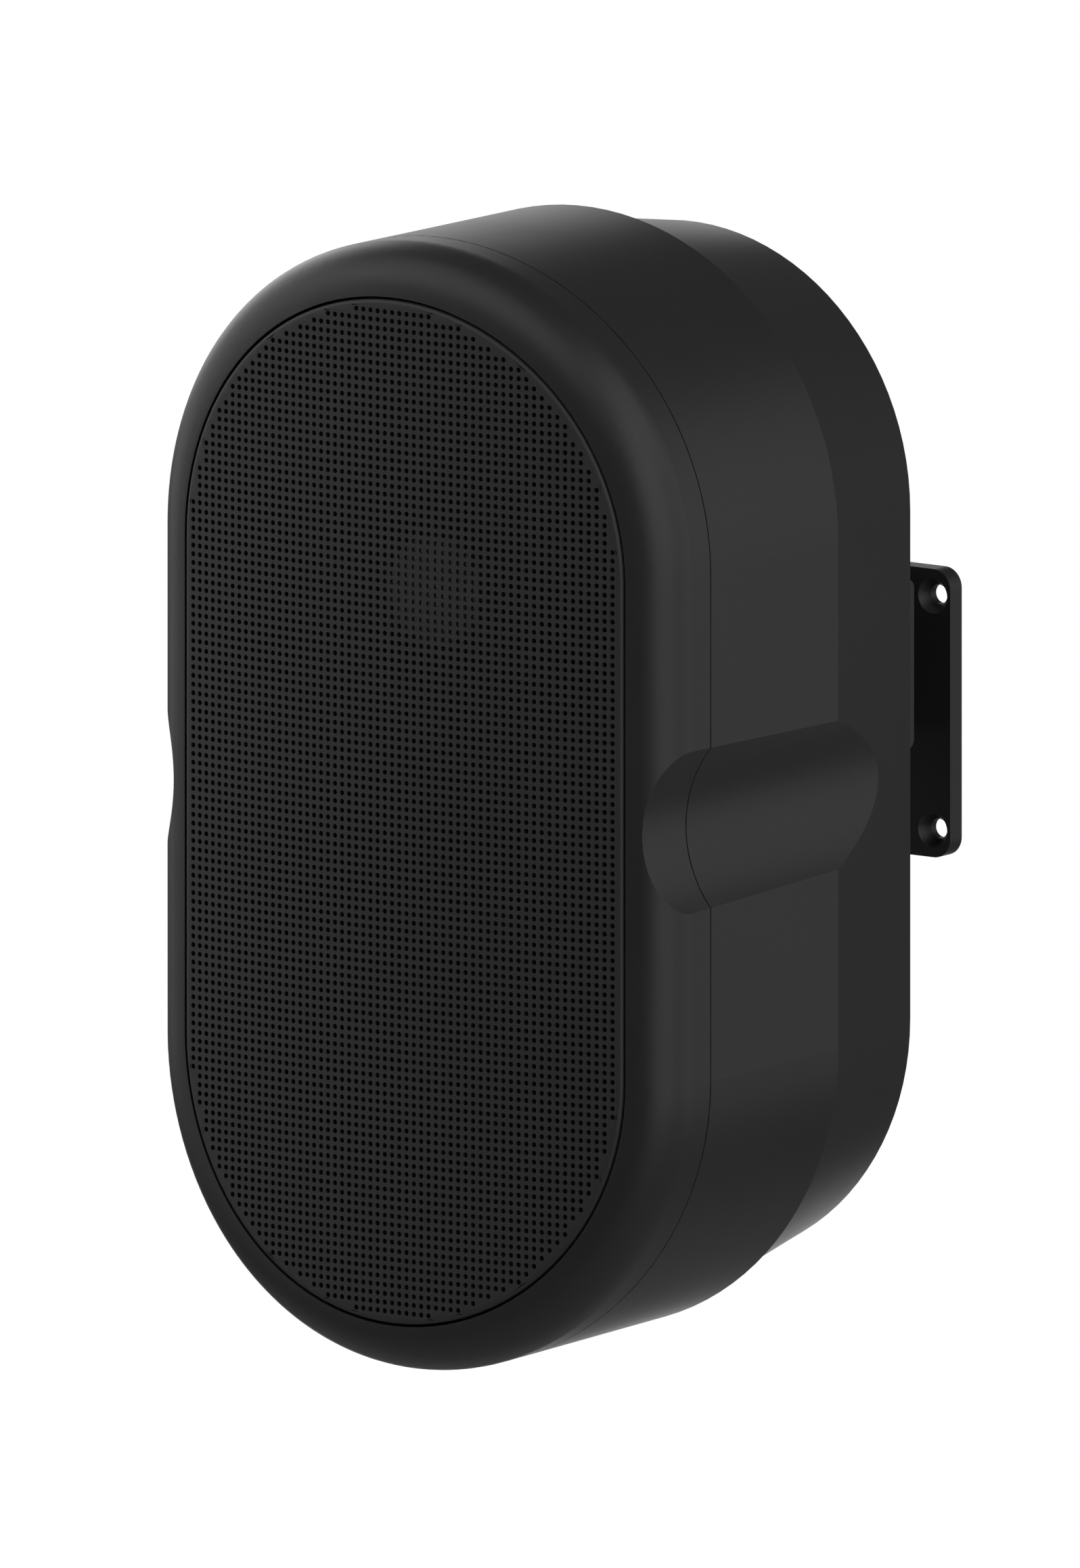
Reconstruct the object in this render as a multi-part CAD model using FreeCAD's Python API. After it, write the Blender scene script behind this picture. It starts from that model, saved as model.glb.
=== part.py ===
import FreeCAD, Part
import math
import os

# A wall-mounted two-way loudspeaker: a pill-shaped moulded cabinet behind a bowed perforated grille, with a
# woofer, a dome tweeter, two reflex ports, a crossover, spring terminals and a pan and tilt bracket.
# Millimetres. The origin is the centre of the wall plate's back face, the wall is the plane Y = 0,
# the front faces -Y and +Z is up. Depths are counted back from the crown of the bowed grille.

Vector = FreeCAD.Vector
ALONG_X = Vector(1, 0, 0)
ALONG_Y = Vector(0, 1, 0)
ALONG_Z = Vector(0, 0, 1)
PARALLEL_TOLERANCE = 0.01

# Cabinet outline
BODY_RADIUS = 71.55
HALF_STRAIGHT = 58.4
CABINET_DEPTH = 118.4
CREASE_DEPTH = 76.3
CREASE_INSET = 1.42
BACK_INSET = 10.95
CABINET_WALL = 3.5
BACK_WALL = 4.0
BEZEL_NOSE = 11.5
GROOVE_RADIUS = 30.4
GROOVE_DEPTH = 6.7

# Bowed front, bezel and baffle
BOW_RADIUS = 394.0
BEZEL_SETBACK = 0.45
BEZEL_WIDTH = 10.55
BEZEL_END_EXTRA = 1.0
BAFFLE_DEPTH = 10.7
BAFFLE_THICKNESS = 5.0

# Joint between the front and rear mouldings
PARTING_DEPTH = 19.2
PARTING_BOW = 480.0
PARTING_GAP = 0.4
GASKET_INSET = 1.2
POST_RADIUS = 6.0
POST_CLEARANCE = 2.0
POST_SEAT_DEPTH = 45.0
POST_ANGLE = 45.0
WELL_RADIUS = 3.6

# Perforated grille: the grid has a hole at every pitch, and these steps pick the ones cut through the sheet
GRILLE_GAP = 0.6
GRILLE_SHEET = 1.0
GRILLE_EDGE_ROUND = 0.8
HOLE_PITCH = 2.0
HOLE_RADIUS = 0.6
HOLE_BORDER = 1.4
HOLE_STEP_ACROSS = 7
HOLE_STEP_UP = 9

# Reflex ports
PORT_GAP = 0.75
PORT_WIDTH = 20.5
PORT_HEIGHT = 50.0
PORT_WALL = 2.0
PORT_LENGTH = 65.0

# Woofer
WOOFER_INSET = 19.7
WOOFER_MARGIN = 25.55
OPENING_CHAMFER = 1.5
FRAME_LEDGE = 10.5
FRAME_FLANGE = 3.0
FRAME_STEP = 3.3
FRAME_WALL = 2.5
FRAME_FLOOR = 2.0
WOOFER_SEAL = 1.0
LIP_WIDTH = 2.0
LIP_CLEARANCE = 0.2
ROLL_WIDTH = 6.0
ROLL_SHEET = 0.6
CONE_RIM = 1.5
CONE_HEIGHT = 15.5
CONE_SHEET = 0.8
DUST_CAP_RADIUS = 14.5
DUST_CAP_HEIGHT = 4.3
DUST_CAP_SHEET = 0.6
FORMER_RADIUS = 13.3
FORMER_WALL = 0.35
FORMER_LENGTH = 22.5
COIL_WIRE = 0.65
COIL_HEIGHT = 8.0
COIL_OVERHANG = 1.5
POLE_GAP = 0.55
PLATE_GAP = 0.65
SHELF_RADIUS = 35.5
SHELF_WIDTH = 5.0
SHELF_DROP = 21.0
FLOOR_DROP = 7.0
NECK_RADIUS = 15.5
SPIDER_SHEET = 0.6
SPIDER_WAVE = 1.6
SPIDER_FOLDS = 4
WINDOW_COUNT = 4
WINDOW_ANGLE = 62.0
WINDOW_MARGIN = 3.0
WOOFER_PLATE_RADIUS = 34.0
WOOFER_PLATE = 5.0
WOOFER_MAGNET_RADIUS = 37.0
WOOFER_MAGNET_BORE = 20.0
WOOFER_MAGNET = 15.0
WOOFER_SCREW_COUNT = 6

# Tweeter
DRIVER_GAP = 1.3
TWEETER_THROAT = 15.4
TWEETER_FLARE = 3.6
FACEPLATE_RADIUS = 29.5
FACEPLATE = 2.0
DOME_RADIUS = 12.5
DOME_HEIGHT = 6.4
DOME_SHEET = 0.5
DOME_RIM = 1.0
DOME_ROLL = 2.5
DOME_LIP = 2.3
TWEETER_COIL_WIRE = 0.5
TWEETER_COIL_HEIGHT = 4.0
TWEETER_GAP = 0.5
TWEETER_PLATE_RADIUS = 22.5
TWEETER_PLATE = 3.0
TWEETER_MAGNET_RADIUS = 23.0
TWEETER_MAGNET_BORE = 15.0
TWEETER_MAGNET = 8.0
TWEETER_YOKE = 4.0
TWEETER_SCREW_COUNT = 4
TWEETER_SCREW_ANGLE = 45.0

# Screws
SCREW_RADIUS = 1.5
SCREW_HEAD_RADIUS = 2.5
SCREW_HEAD = 2.0
SCREW_BITE = 4.0
SCREW_FIT = 0.05
LONG_SCREW_RADIUS = 1.6
LONG_SCREW_HEAD_RADIUS = 3.2
LONG_SCREW_BITE_END = 18.0
SOCKET_SIDES = 6
SOCKET_RADIUS_SHARE = 0.5
SOCKET_DEPTH_SHARE = 0.6

# Crossover
BOARD_WIDTH = 56.0
BOARD_HEIGHT = 44.0
BOARD = 1.6
BOARD_CLEARANCE = 6.0
BOARD_MARGIN = 4.0
STANDOFF = 6.0
STANDOFF_RADIUS = 3.2
INDUCTOR_RADIUS = 11.0
INDUCTOR_BORE = 5.0
INDUCTOR_HEIGHT = 12.0
CAPACITOR_RADIUS = 5.5
CAPACITOR_LENGTH = 24.0
RESISTOR_LENGTH = 22.0
RESISTOR_SIDE = 7.0
PART_SPACING = 3.0

# Solder tags and hook-up leads
TAG_STRIP = 2.0
TAG_STRIP_WIDTH = 12.0
TAG_STRIP_HEIGHT = 3.6
TAG_SPACING = 7.0
TAG_WIDTH = 2.5
TAG_LENGTH = 8.0
TAG_SHEET = 0.8
LEAD_RADIUS = 0.9
LEAD_SPACING = 5.0
LEAD_LANDING = 16.0
LEAD_RISE = 17.0
LEAD_CREST = 5.0
LEAD_BEND_SHARE = 0.45

# Spring terminals
TERMINAL_CLEARANCE = 22.0
TERMINAL_FLANGE = 2.0
TERMINAL_MARGIN = 8.0
TERMINAL_CORNER = 4.0
CUP_WALL = 2.0
CUP_HEIGHT = 34.0
CUP_RECESS = 16.0
CUP_FIT = 0.3
RIB = 3.0
RIB_HALF_HEIGHT = 4.0
RIB_CROWN = 3.0
LEVER_WIDTH = 15.7
LEVER_SIDE_GAP = 0.4
LEVER_THICKNESS = 3.0
LEVER_HALF_LENGTH = 13.0
LEVER_PAD = 6.0
LEVER_PAD_RISE = 1.5
LEVER_ROUND = 1.0
LEVER_RIDGES = 3
LEVER_RIDGE = 0.5
LEVER_RIDGE_WIDTH = 0.8
LEVER_RIDGE_PITCH = 1.6
PIVOT_HEIGHT = 8.0
PIVOT_OFFSET = 4.0
TRUNNION_RADIUS = 1.5
TRUNNION_REACH = 1.2
TRUNNION_FIT = 0.05
CONTACT_WIDTH = 6.0
CONTACT_SHEET = 1.0
CONTACT_OFFSET = 10.0
CONTACT_GAP = 0.2
CONTACT_TAIL = 6.0

# Bracket
YOKE_WIDTH = 66.4
YOKE_HEIGHT = 38.7
YOKE_REACH = 40.6
YOKE_SHEET = 3.0
YOKE_BEND = 4.0
YOKE_CORNER = 2.0
YOKE_RAISE = 14.7
YOKE_SCREW_X = 20.0
YOKE_SCREW_Z = 12.0
YOKE_SCREW_RADIUS = 2.0
YOKE_SCREW_HEAD_RADIUS = 3.8
YOKE_SCREW_HEAD = 2.4
YOKE_SCREW_LENGTH = 12.0
INSERT_RADIUS = 5.0
AXIS_OFFSET = 29.6
AXIS_TO_WALL = 29.9
AXIS_RAISE = 14.04
RUNNING_GAP = 0.1
WASHER = 1.0
WASHER_RADIUS = 9.0
BLOCK_BARREL_RADIUS = 10.5
BLOCK_HUB_RADIUS = 12.0
BLOCK_HALF_HEIGHT = 12.9
TILT_SHOULDER_RADIUS = 4.0
TILT_THREAD_RADIUS = 3.0
TILT_THREAD_LENGTH = 14.0
TILT_HEAD_RADIUS = 6.2
TILT_HEAD = 2.2
PAN_PIN_RADIUS = 4.0
PAN_HEAD_RADIUS = 6.5
PAN_HEAD = 3.0
PAN_TAIL = 3.0
PAN_CLIP = 1.2
PIVOT_FIT = 0.05
LUG = 5.0
LUG_RADIUS = 10.0
LUG_ROOT = 16.0
PLATE_SIDE = 66.4
PLATE = 4.6
PLATE_CORNER = 4.5
PLATE_HOLE_RADIUS = 2.25
PLATE_SINK_RADIUS = 4.0
PLATE_SINK = 2.6
PLATE_HOLE_SPACING_X = 56.7
PLATE_HOLE_SPACING_Z = 53.9

# Places worked out from the sizes above
FRONT_Y = -(CABINET_DEPTH + AXIS_OFFSET + AXIS_TO_WALL)
CABINET_Z = AXIS_RAISE - YOKE_RAISE
BODY_HALF_HEIGHT = BODY_RADIUS + HALF_STRAIGHT
CREASE_RADIUS = BODY_RADIUS - CREASE_INSET
BACK_RADIUS = BODY_RADIUS - BACK_INSET
GROOVE_CENTRE = BODY_RADIUS - GROOVE_DEPTH + GROOVE_RADIUS
OPENING_RADIUS = BODY_RADIUS - BEZEL_WIDTH
OPENING_STRAIGHT = HALF_STRAIGHT - BEZEL_END_EXTRA
BAFFLE_BACK = BAFFLE_DEPTH + BAFFLE_THICKNESS
GRILLE_RADIUS = OPENING_RADIUS - GRILLE_GAP
BACK_INSIDE = CABINET_DEPTH - BACK_WALL
POST_REACH = BACK_RADIUS - CABINET_WALL - POST_RADIUS - POST_CLEARANCE
WOOFER_Z = WOOFER_INSET - HALF_STRAIGHT
WOOFER_OPENING = BODY_RADIUS - WOOFER_MARGIN
FRAME_RADIUS = WOOFER_OPENING + FRAME_LEDGE
TWEETER_Z = WOOFER_Z + FRAME_RADIUS + DRIVER_GAP + FACEPLATE_RADIUS
PORT_OFFSET = FACEPLATE_RADIUS + PORT_GAP + PORT_WALL + PORT_WIDTH / 2
FRAME_FRONT = BAFFLE_BACK + WOOFER_SEAL
FRAME_BACK = FRAME_FRONT + FRAME_FLANGE
LANDING = FRAME_FRONT + FRAME_STEP
FRAME_INSIDE = WOOFER_OPENING + LIP_WIDTH + LIP_CLEARANCE
SHELF = LANDING + SHELF_DROP
SHELF_BACK = SHELF + FRAME_WALL
FLOOR = SHELF + FLOOR_DROP
CONE_RADIUS = WOOFER_OPENING - ROLL_WIDTH
CONE_BODY_RADIUS = CONE_RADIUS - CONE_RIM
WOOFER_PLATE_FRONT = FLOOR + FRAME_FLOOR
WOOFER_MAGNET_FRONT = WOOFER_PLATE_FRONT + WOOFER_PLATE
WOOFER_YOKE_FRONT = WOOFER_MAGNET_FRONT + WOOFER_MAGNET
WOOFER_BACK = WOOFER_YOKE_FRONT + WOOFER_PLATE
DOME_PLANE = BAFFLE_BACK + FACEPLATE
TWEETER_MAGNET_FRONT = DOME_PLANE + TWEETER_PLATE
TWEETER_YOKE_FRONT = TWEETER_MAGNET_FRONT + TWEETER_MAGNET
BOARD_Z = YOKE_RAISE + YOKE_HEIGHT / 2 + BOARD_CLEARANCE + BOARD_HEIGHT / 2
BOARD_BACK = BACK_INSIDE - STANDOFF
BOARD_FRONT = BOARD_BACK - BOARD
BAY = LEVER_WIDTH + 2 * LEVER_SIDE_GAP
CUP_WIDTH = 2 * BAY + 3 * RIB
FLANGE_WIDTH = CUP_WIDTH + 2 * (CUP_WALL + TERMINAL_MARGIN)
FLANGE_HEIGHT = CUP_HEIGHT + 2 * (CUP_WALL + TERMINAL_MARGIN)
TERMINAL_Z = YOKE_RAISE - YOKE_HEIGHT / 2 - TERMINAL_CLEARANCE - FLANGE_HEIGHT / 2
CUP_FLOOR = CABINET_DEPTH - CUP_RECESS
LEVER_PIVOT_DEPTH = CUP_FLOOR + PIVOT_HEIGHT
AXIS_DEPTH = CABINET_DEPTH + AXIS_OFFSET
YOKE_INSIDE = YOKE_WIDTH / 2 - YOKE_SHEET
BLOCK_HALF_WIDTH = YOKE_INSIDE - RUNNING_GAP - WASHER
LUG_INSIDE = BLOCK_HALF_HEIGHT + RUNNING_GAP + WASHER
LUG_OUTSIDE = LUG_INSIDE + LUG


def place(x, depth, z):
    """Point of the cabinet: across, behind the grille's crown, and above the cabinet's middle."""
    return Vector(x, FRONT_Y + depth, CABINET_Z + z)


def turned(x, z, start, *steps, angle=360):
    """Solid turned about the depth line through (x, z), from an outline of (radius, depth) points.

    A step is one point for a straight edge, or a middle and an end point for an arc. A straight edge closes
    an outline that doesn't end where it starts.
    """
    edges = []
    here = start
    closing = () if start in steps[-1] else (start,)
    for step in steps + closing:
        if isinstance(step[0], tuple):
            middle, end = step
            ends = [place(x + radius, depth, z) for radius, depth in (here, middle, end)]
            edges.append(Part.Arc(*ends).toShape())
        else:
            end = step
            ends = [place(x + radius, depth, z) for radius, depth in (here, end)]
            edges.append(Part.LineSegment(*ends).toShape())
        here = end
    return Part.Face(Part.Wire(edges)).revolve(place(x, 0, z), ALONG_Y, angle)


def rod(x, z, radius, front, back):
    """Round bar along the depth direction."""
    return Part.makeCylinder(radius, back - front, place(x, front, z), ALONG_Y)


def ring(x, z, inner, outer, front, back):
    """Flat ring or tube along the depth direction."""
    return rod(x, z, outer, front, back).cut(rod(x, z, inner, front, back))


def block(x, z, width, height, front, back):
    """Rectangular block centred on (x, z) between two depths."""
    return Part.makeBox(width, back - front, height, place(x - width / 2, front, z - height / 2))


def pill(radius_front, radius_back, half_straight, front, back, x=0, z=0):
    """Pill-shaped solid between two depths, with a radius that changes evenly between them."""
    corners = [
        place(x - radius_front, front, z - half_straight),
        place(x + radius_front, front, z - half_straight),
        place(x + radius_back, back, z - half_straight),
        place(x - radius_back, back, z - half_straight),
    ]
    middle = Part.Face(Part.makePolygon(corners + corners[:1])).extrude(Vector(0, 0, 2 * half_straight))
    ends = []
    for side in (1, -1):
        end_z = z + side * half_straight
        half = [
            place(x, front, end_z),
            place(x + radius_front, front, end_z),
            place(x + radius_back, back, end_z),
            place(x, back, end_z),
        ]
        face = Part.Face(Part.makePolygon(half + half[:1]))
        ends.append(face.revolve(half[0], Vector(0, -side, 0), 180))
    return middle.fuse(ends).removeSplitter()


def bow(radius, depth):
    """Upright cylinder whose front crown lies at the given depth."""
    foot = place(0, depth + radius, -2 * BODY_HALF_HEIGHT)
    return Part.makeCylinder(radius, 4 * BODY_HALF_HEIGHT, foot, ALONG_Z)


def around(count, radius, first_angle):
    """Evenly spaced points on a circle."""
    turns = [math.radians(first_angle + 360 * index / count) for index in range(count)]
    return [(radius * math.cos(turn), radius * math.sin(turn)) for turn in turns]


def socket(x, z, radius, front, back):
    """Six-sided key recess along the depth direction."""
    corners = [place(x + dx, front, z + dz) for dx, dz in around(SOCKET_SIDES, radius, 0)]
    face = Part.Face(Part.makePolygon(corners + corners[:1]))
    return face.extrude(Vector(0, back - front, 0))


def screw(x, z, seat, tip, radius, head_radius, head):
    """Socket screw driven towards the front: its head bears at one depth and its shank ends at another."""
    body = rod(x, z, head_radius, seat, seat + head).fuse(rod(x, z, radius, tip, seat))
    key_floor = seat + head * (1 - SOCKET_DEPTH_SHARE)
    return body.cut(socket(x, z, head_radius * SOCKET_RADIUS_SHARE, key_floor, seat + head))


def body_radius(depth):
    """Outer end radius of the drafted front part of the cabinet at a depth."""
    return BODY_RADIUS - CREASE_INSET * depth / CREASE_DEPTH


def side_grooves(radius):
    """The two round bars that form the grooves along the cabinet's sides."""
    bars = [rod(side * GROOVE_CENTRE, 0, radius, -CABINET_DEPTH, 2 * CABINET_DEPTH) for side in (1, -1)]
    return Part.makeCompound(bars)


def outer_body():
    """Outside of the closed cabinet, with its bowed bullnose front and its side grooves."""
    front = pill(BODY_RADIUS, CREASE_RADIUS, HALF_STRAIGHT, 0, CREASE_DEPTH)
    front = front.common(bow(BOW_RADIUS, BEZEL_SETBACK))
    nose = []
    for face in front.Faces:
        if isinstance(face.Surface, Part.Cylinder) and abs(face.Surface.Radius - BOW_RADIUS) < BEZEL_SETBACK:
            nose += face.Edges
    front = front.makeFillet(BEZEL_NOSE, nose)
    rear = pill(CREASE_RADIUS, BACK_RADIUS, HALF_STRAIGHT, CREASE_DEPTH, CABINET_DEPTH)
    return front.fuse(rear).removeSplitter().cut(side_grooves(GROOVE_RADIUS))


def cavity():
    """Hollow of the closed cabinet behind the baffle."""
    inner_crease = CREASE_RADIUS - CABINET_WALL
    inner_front = body_radius(BAFFLE_BACK) - CABINET_WALL
    inner_back = BACK_RADIUS - CABINET_WALL
    front = pill(inner_front, inner_crease, HALF_STRAIGHT, BAFFLE_BACK, CREASE_DEPTH)
    rear = pill(inner_crease, inner_back, HALF_STRAIGHT, CREASE_DEPTH, BACK_INSIDE)
    return front.fuse(rear).removeSplitter().cut(side_grooves(GROOVE_RADIUS + CABINET_WALL))


def post_points():
    """Centres of the screw posts near the cabinet's ends."""
    across = POST_REACH * math.cos(math.radians(POST_ANGLE))
    up = HALF_STRAIGHT + POST_REACH * math.sin(math.radians(POST_ANGLE))
    return [(sx * across, sz * up) for sx in (1, -1) for sz in (1, -1)]


def woofer_screw_points():
    """Centres of the screws round the woofer's flange."""
    wall_outside = FRAME_INSIDE + FRAME_WALL
    circle = around(WOOFER_SCREW_COUNT, (wall_outside + FRAME_RADIUS) / 2, 0)
    return [(x, WOOFER_Z + z) for x, z in circle]


def tweeter_screw_points():
    """Centres of the screws round the tweeter's faceplate."""
    circle = around(TWEETER_SCREW_COUNT, tweeter_margin(), TWEETER_SCREW_ANGLE)
    return [(x, TWEETER_Z + z) for x, z in circle]


def tweeter_margin():
    """Radius of the middle of the faceplate's ring outside the magnet."""
    return (TWEETER_MAGNET_RADIUS + FACEPLATE_RADIUS) / 2


def board_screw_points():
    """Centres of the screws at the corners of the crossover board."""
    reach_x = BOARD_WIDTH / 2 - BOARD_MARGIN
    reach_z = BOARD_HEIGHT / 2 - BOARD_MARGIN
    return [(sx * reach_x, BOARD_Z + sz * reach_z) for sx in (1, -1) for sz in (1, -1)]


def terminal_screw_points():
    """Centres of the screws at the corners of the terminal cup's flange."""
    reach_x = FLANGE_WIDTH / 2 - TERMINAL_MARGIN / 2
    reach_z = FLANGE_HEIGHT / 2 - TERMINAL_MARGIN / 2
    return [(sx * reach_x, TERMINAL_Z + sz * reach_z) for sx in (1, -1) for sz in (1, -1)]


def yoke_screw_points():
    """Centres of the screws that hold the yoke to the cabinet's back."""
    return [(sx * YOKE_SCREW_X, YOKE_RAISE + sz * YOKE_SCREW_Z) for sx in (1, -1) for sz in (1, -1)]


def bores(points, radius, front, back):
    """Group of equal round holes along the depth direction."""
    return Part.makeCompound([rod(x, z, radius, front, back) for x, z in points])


def driven(points, seat, bite, radius, head_radius, head):
    """Group of equal screws."""
    return Part.makeCompound([screw(x, z, seat, seat - bite, radius, head_radius, head) for x, z in points])


def port_openings():
    """Inside of both reflex ports, right through the baffle and the tubes."""
    half_width = PORT_WIDTH / 2
    straight = PORT_HEIGHT / 2 - half_width
    back = BAFFLE_BACK + PORT_LENGTH
    return [pill(half_width, half_width, straight, BAFFLE_DEPTH, back, x, TWEETER_Z)
            for x in (-PORT_OFFSET, PORT_OFFSET)]


def front_baffle(body, hollow):
    """Bullnose bezel and baffle in one moulding."""
    shape = body.cut(pill(OPENING_RADIUS, OPENING_RADIUS, OPENING_STRAIGHT, -BODY_RADIUS, BAFFLE_DEPTH))
    shape = shape.cut(hollow)
    shape = shape.fuse([rod(x, z, POST_RADIUS, BAFFLE_BACK, POST_SEAT_DEPTH) for x, z in post_points()])
    shape = shape.cut(bow(PARTING_BOW + PARTING_GAP / 2, PARTING_DEPTH - PARTING_GAP / 2))
    bore = LONG_SCREW_RADIUS + SCREW_FIT
    shape = shape.cut(bores(post_points(), bore, LONG_SCREW_BITE_END, POST_SEAT_DEPTH))
    shape = shape.cut(turned(
        0, WOOFER_Z,
        (0, BAFFLE_DEPTH),
        (WOOFER_OPENING + OPENING_CHAMFER, BAFFLE_DEPTH),
        (WOOFER_OPENING, BAFFLE_DEPTH + OPENING_CHAMFER),
        (WOOFER_OPENING, BAFFLE_BACK),
        (0, BAFFLE_BACK),
    ))
    shape = shape.cut(turned(
        0, TWEETER_Z,
        (0, BAFFLE_DEPTH),
        (TWEETER_THROAT + TWEETER_FLARE, BAFFLE_DEPTH),
        (TWEETER_THROAT, BAFFLE_BACK),
        (0, BAFFLE_BACK),
    ))
    for opening in port_openings():
        shape = shape.cut(opening)
    pilots = woofer_screw_points() + tweeter_screw_points()
    return shape.cut(bores(pilots, SCREW_RADIUS + SCREW_FIT, BAFFLE_BACK - SCREW_BITE, BAFFLE_BACK))


def rear_cabinet(body, hollow):
    """Rear moulding with its side grooves, screw posts, standoffs and bracket inserts."""
    posts = [rod(x, z, POST_RADIUS, PARTING_DEPTH, BACK_INSIDE) for x, z in post_points()]
    standoffs = [rod(x, z, STANDOFF_RADIUS, BOARD_BACK, BACK_INSIDE) for x, z in board_screw_points()]
    insert_front = CABINET_DEPTH - YOKE_SCREW_LENGTH
    inserts = [rod(x, z, INSERT_RADIUS, insert_front, BACK_INSIDE) for x, z in yoke_screw_points()]
    shape = body.cut(hollow).fuse(posts + standoffs + inserts)
    shape = shape.common(bow(PARTING_BOW - PARTING_GAP / 2, PARTING_DEPTH + PARTING_GAP / 2))
    shape = shape.cut(bores(post_points(), LONG_SCREW_RADIUS + SCREW_FIT, PARTING_DEPTH, POST_SEAT_DEPTH))
    shape = shape.cut(bores(post_points(), WELL_RADIUS, POST_SEAT_DEPTH, CABINET_DEPTH))
    pilot = SCREW_RADIUS + SCREW_FIT
    shape = shape.cut(bores(board_screw_points(), pilot, BOARD_BACK, BOARD_BACK + SCREW_BITE))
    shape = shape.cut(bores(terminal_screw_points(), pilot, BACK_INSIDE, CABINET_DEPTH))
    threaded = YOKE_SCREW_RADIUS + SCREW_FIT
    shape = shape.cut(bores(yoke_screw_points(), threaded, insert_front, CABINET_DEPTH))
    cup_width = CUP_WIDTH + 2 * (CUP_WALL + CUP_FIT)
    cup_height = CUP_HEIGHT + 2 * (CUP_WALL + CUP_FIT)
    return shape.cut(block(0, TERMINAL_Z, cup_width, cup_height, BACK_INSIDE, CABINET_DEPTH))


def cabinet_gasket(hollow):
    """Seal in the joint between the two mouldings, set back from the outside to leave a shadow line."""
    front = body_radius(BAFFLE_BACK) - GASKET_INSET
    back = CREASE_RADIUS - GASKET_INSET
    shape = pill(front, back, HALF_STRAIGHT, BAFFLE_BACK, CREASE_DEPTH)
    shape = shape.cut(side_grooves(GROOVE_RADIUS + GASKET_INSET)).cut(hollow)
    shape = shape.common(bow(PARTING_BOW + PARTING_GAP / 2, PARTING_DEPTH - PARTING_GAP / 2))
    return shape.cut(bow(PARTING_BOW - PARTING_GAP / 2, PARTING_DEPTH + PARTING_GAP / 2))


def cabinet_screws():
    """Long screws in the deep wells of the rear moulding."""
    return driven(post_points(), POST_SEAT_DEPTH, POST_SEAT_DEPTH - LONG_SCREW_BITE_END,
                  LONG_SCREW_RADIUS, LONG_SCREW_HEAD_RADIUS, SCREW_HEAD)


def grille():
    """Bowed sheet with a folded rim that stands on the baffle."""
    shape = pill(GRILLE_RADIUS, GRILLE_RADIUS, OPENING_STRAIGHT, -GRILLE_RADIUS, BAFFLE_DEPTH)
    shape = shape.common(bow(BOW_RADIUS, 0))
    rim = []
    for face in shape.Faces:
        if isinstance(face.Surface, Part.Cylinder) and abs(face.Surface.Radius - BOW_RADIUS) < GRILLE_SHEET:
            rim += face.Edges
    shape = shape.makeFillet(GRILLE_EDGE_ROUND, rim)
    inner = GRILLE_RADIUS - GRILLE_SHEET
    inside = pill(inner, inner, OPENING_STRAIGHT, -GRILLE_RADIUS, BAFFLE_DEPTH)
    shape = shape.cut(inside.common(bow(BOW_RADIUS - GRILLE_SHEET, GRILLE_SHEET)))
    return shape.cut(Part.makeCompound(grille_holes()))


def grille_holes():
    """Punched holes on the coarse part of the grid that is cut through the sheet."""
    field = GRILLE_RADIUS - HOLE_BORDER
    step_x = HOLE_PITCH * HOLE_STEP_ACROSS
    step_z = HOLE_PITCH * HOLE_STEP_UP
    columns = int(field / step_x)
    rows = int((field + OPENING_STRAIGHT) / step_z) + 1
    holes = []
    for column in range(-columns, columns + 1):
        for row in range(-rows, rows):
            x = column * step_x
            z = (row + 0.5) * step_z
            past_straight = max(0, abs(z) - OPENING_STRAIGHT)
            if math.hypot(x, past_straight) < field:
                holes.append(rod(x, z, HOLE_RADIUS, -GRILLE_SHEET, BAFFLE_DEPTH))
    return holes


def port_tubes():
    """The two reflex port tubes, left and right."""
    outer_half = PORT_WIDTH / 2 + PORT_WALL
    straight = (PORT_HEIGHT - PORT_WIDTH) / 2
    back = BAFFLE_BACK + PORT_LENGTH
    tubes = []
    for x, opening in zip((-PORT_OFFSET, PORT_OFFSET), port_openings()):
        tubes.append(pill(outer_half, outer_half, straight, BAFFLE_BACK, back, x, TWEETER_Z).cut(opening))
    return tubes


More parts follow.
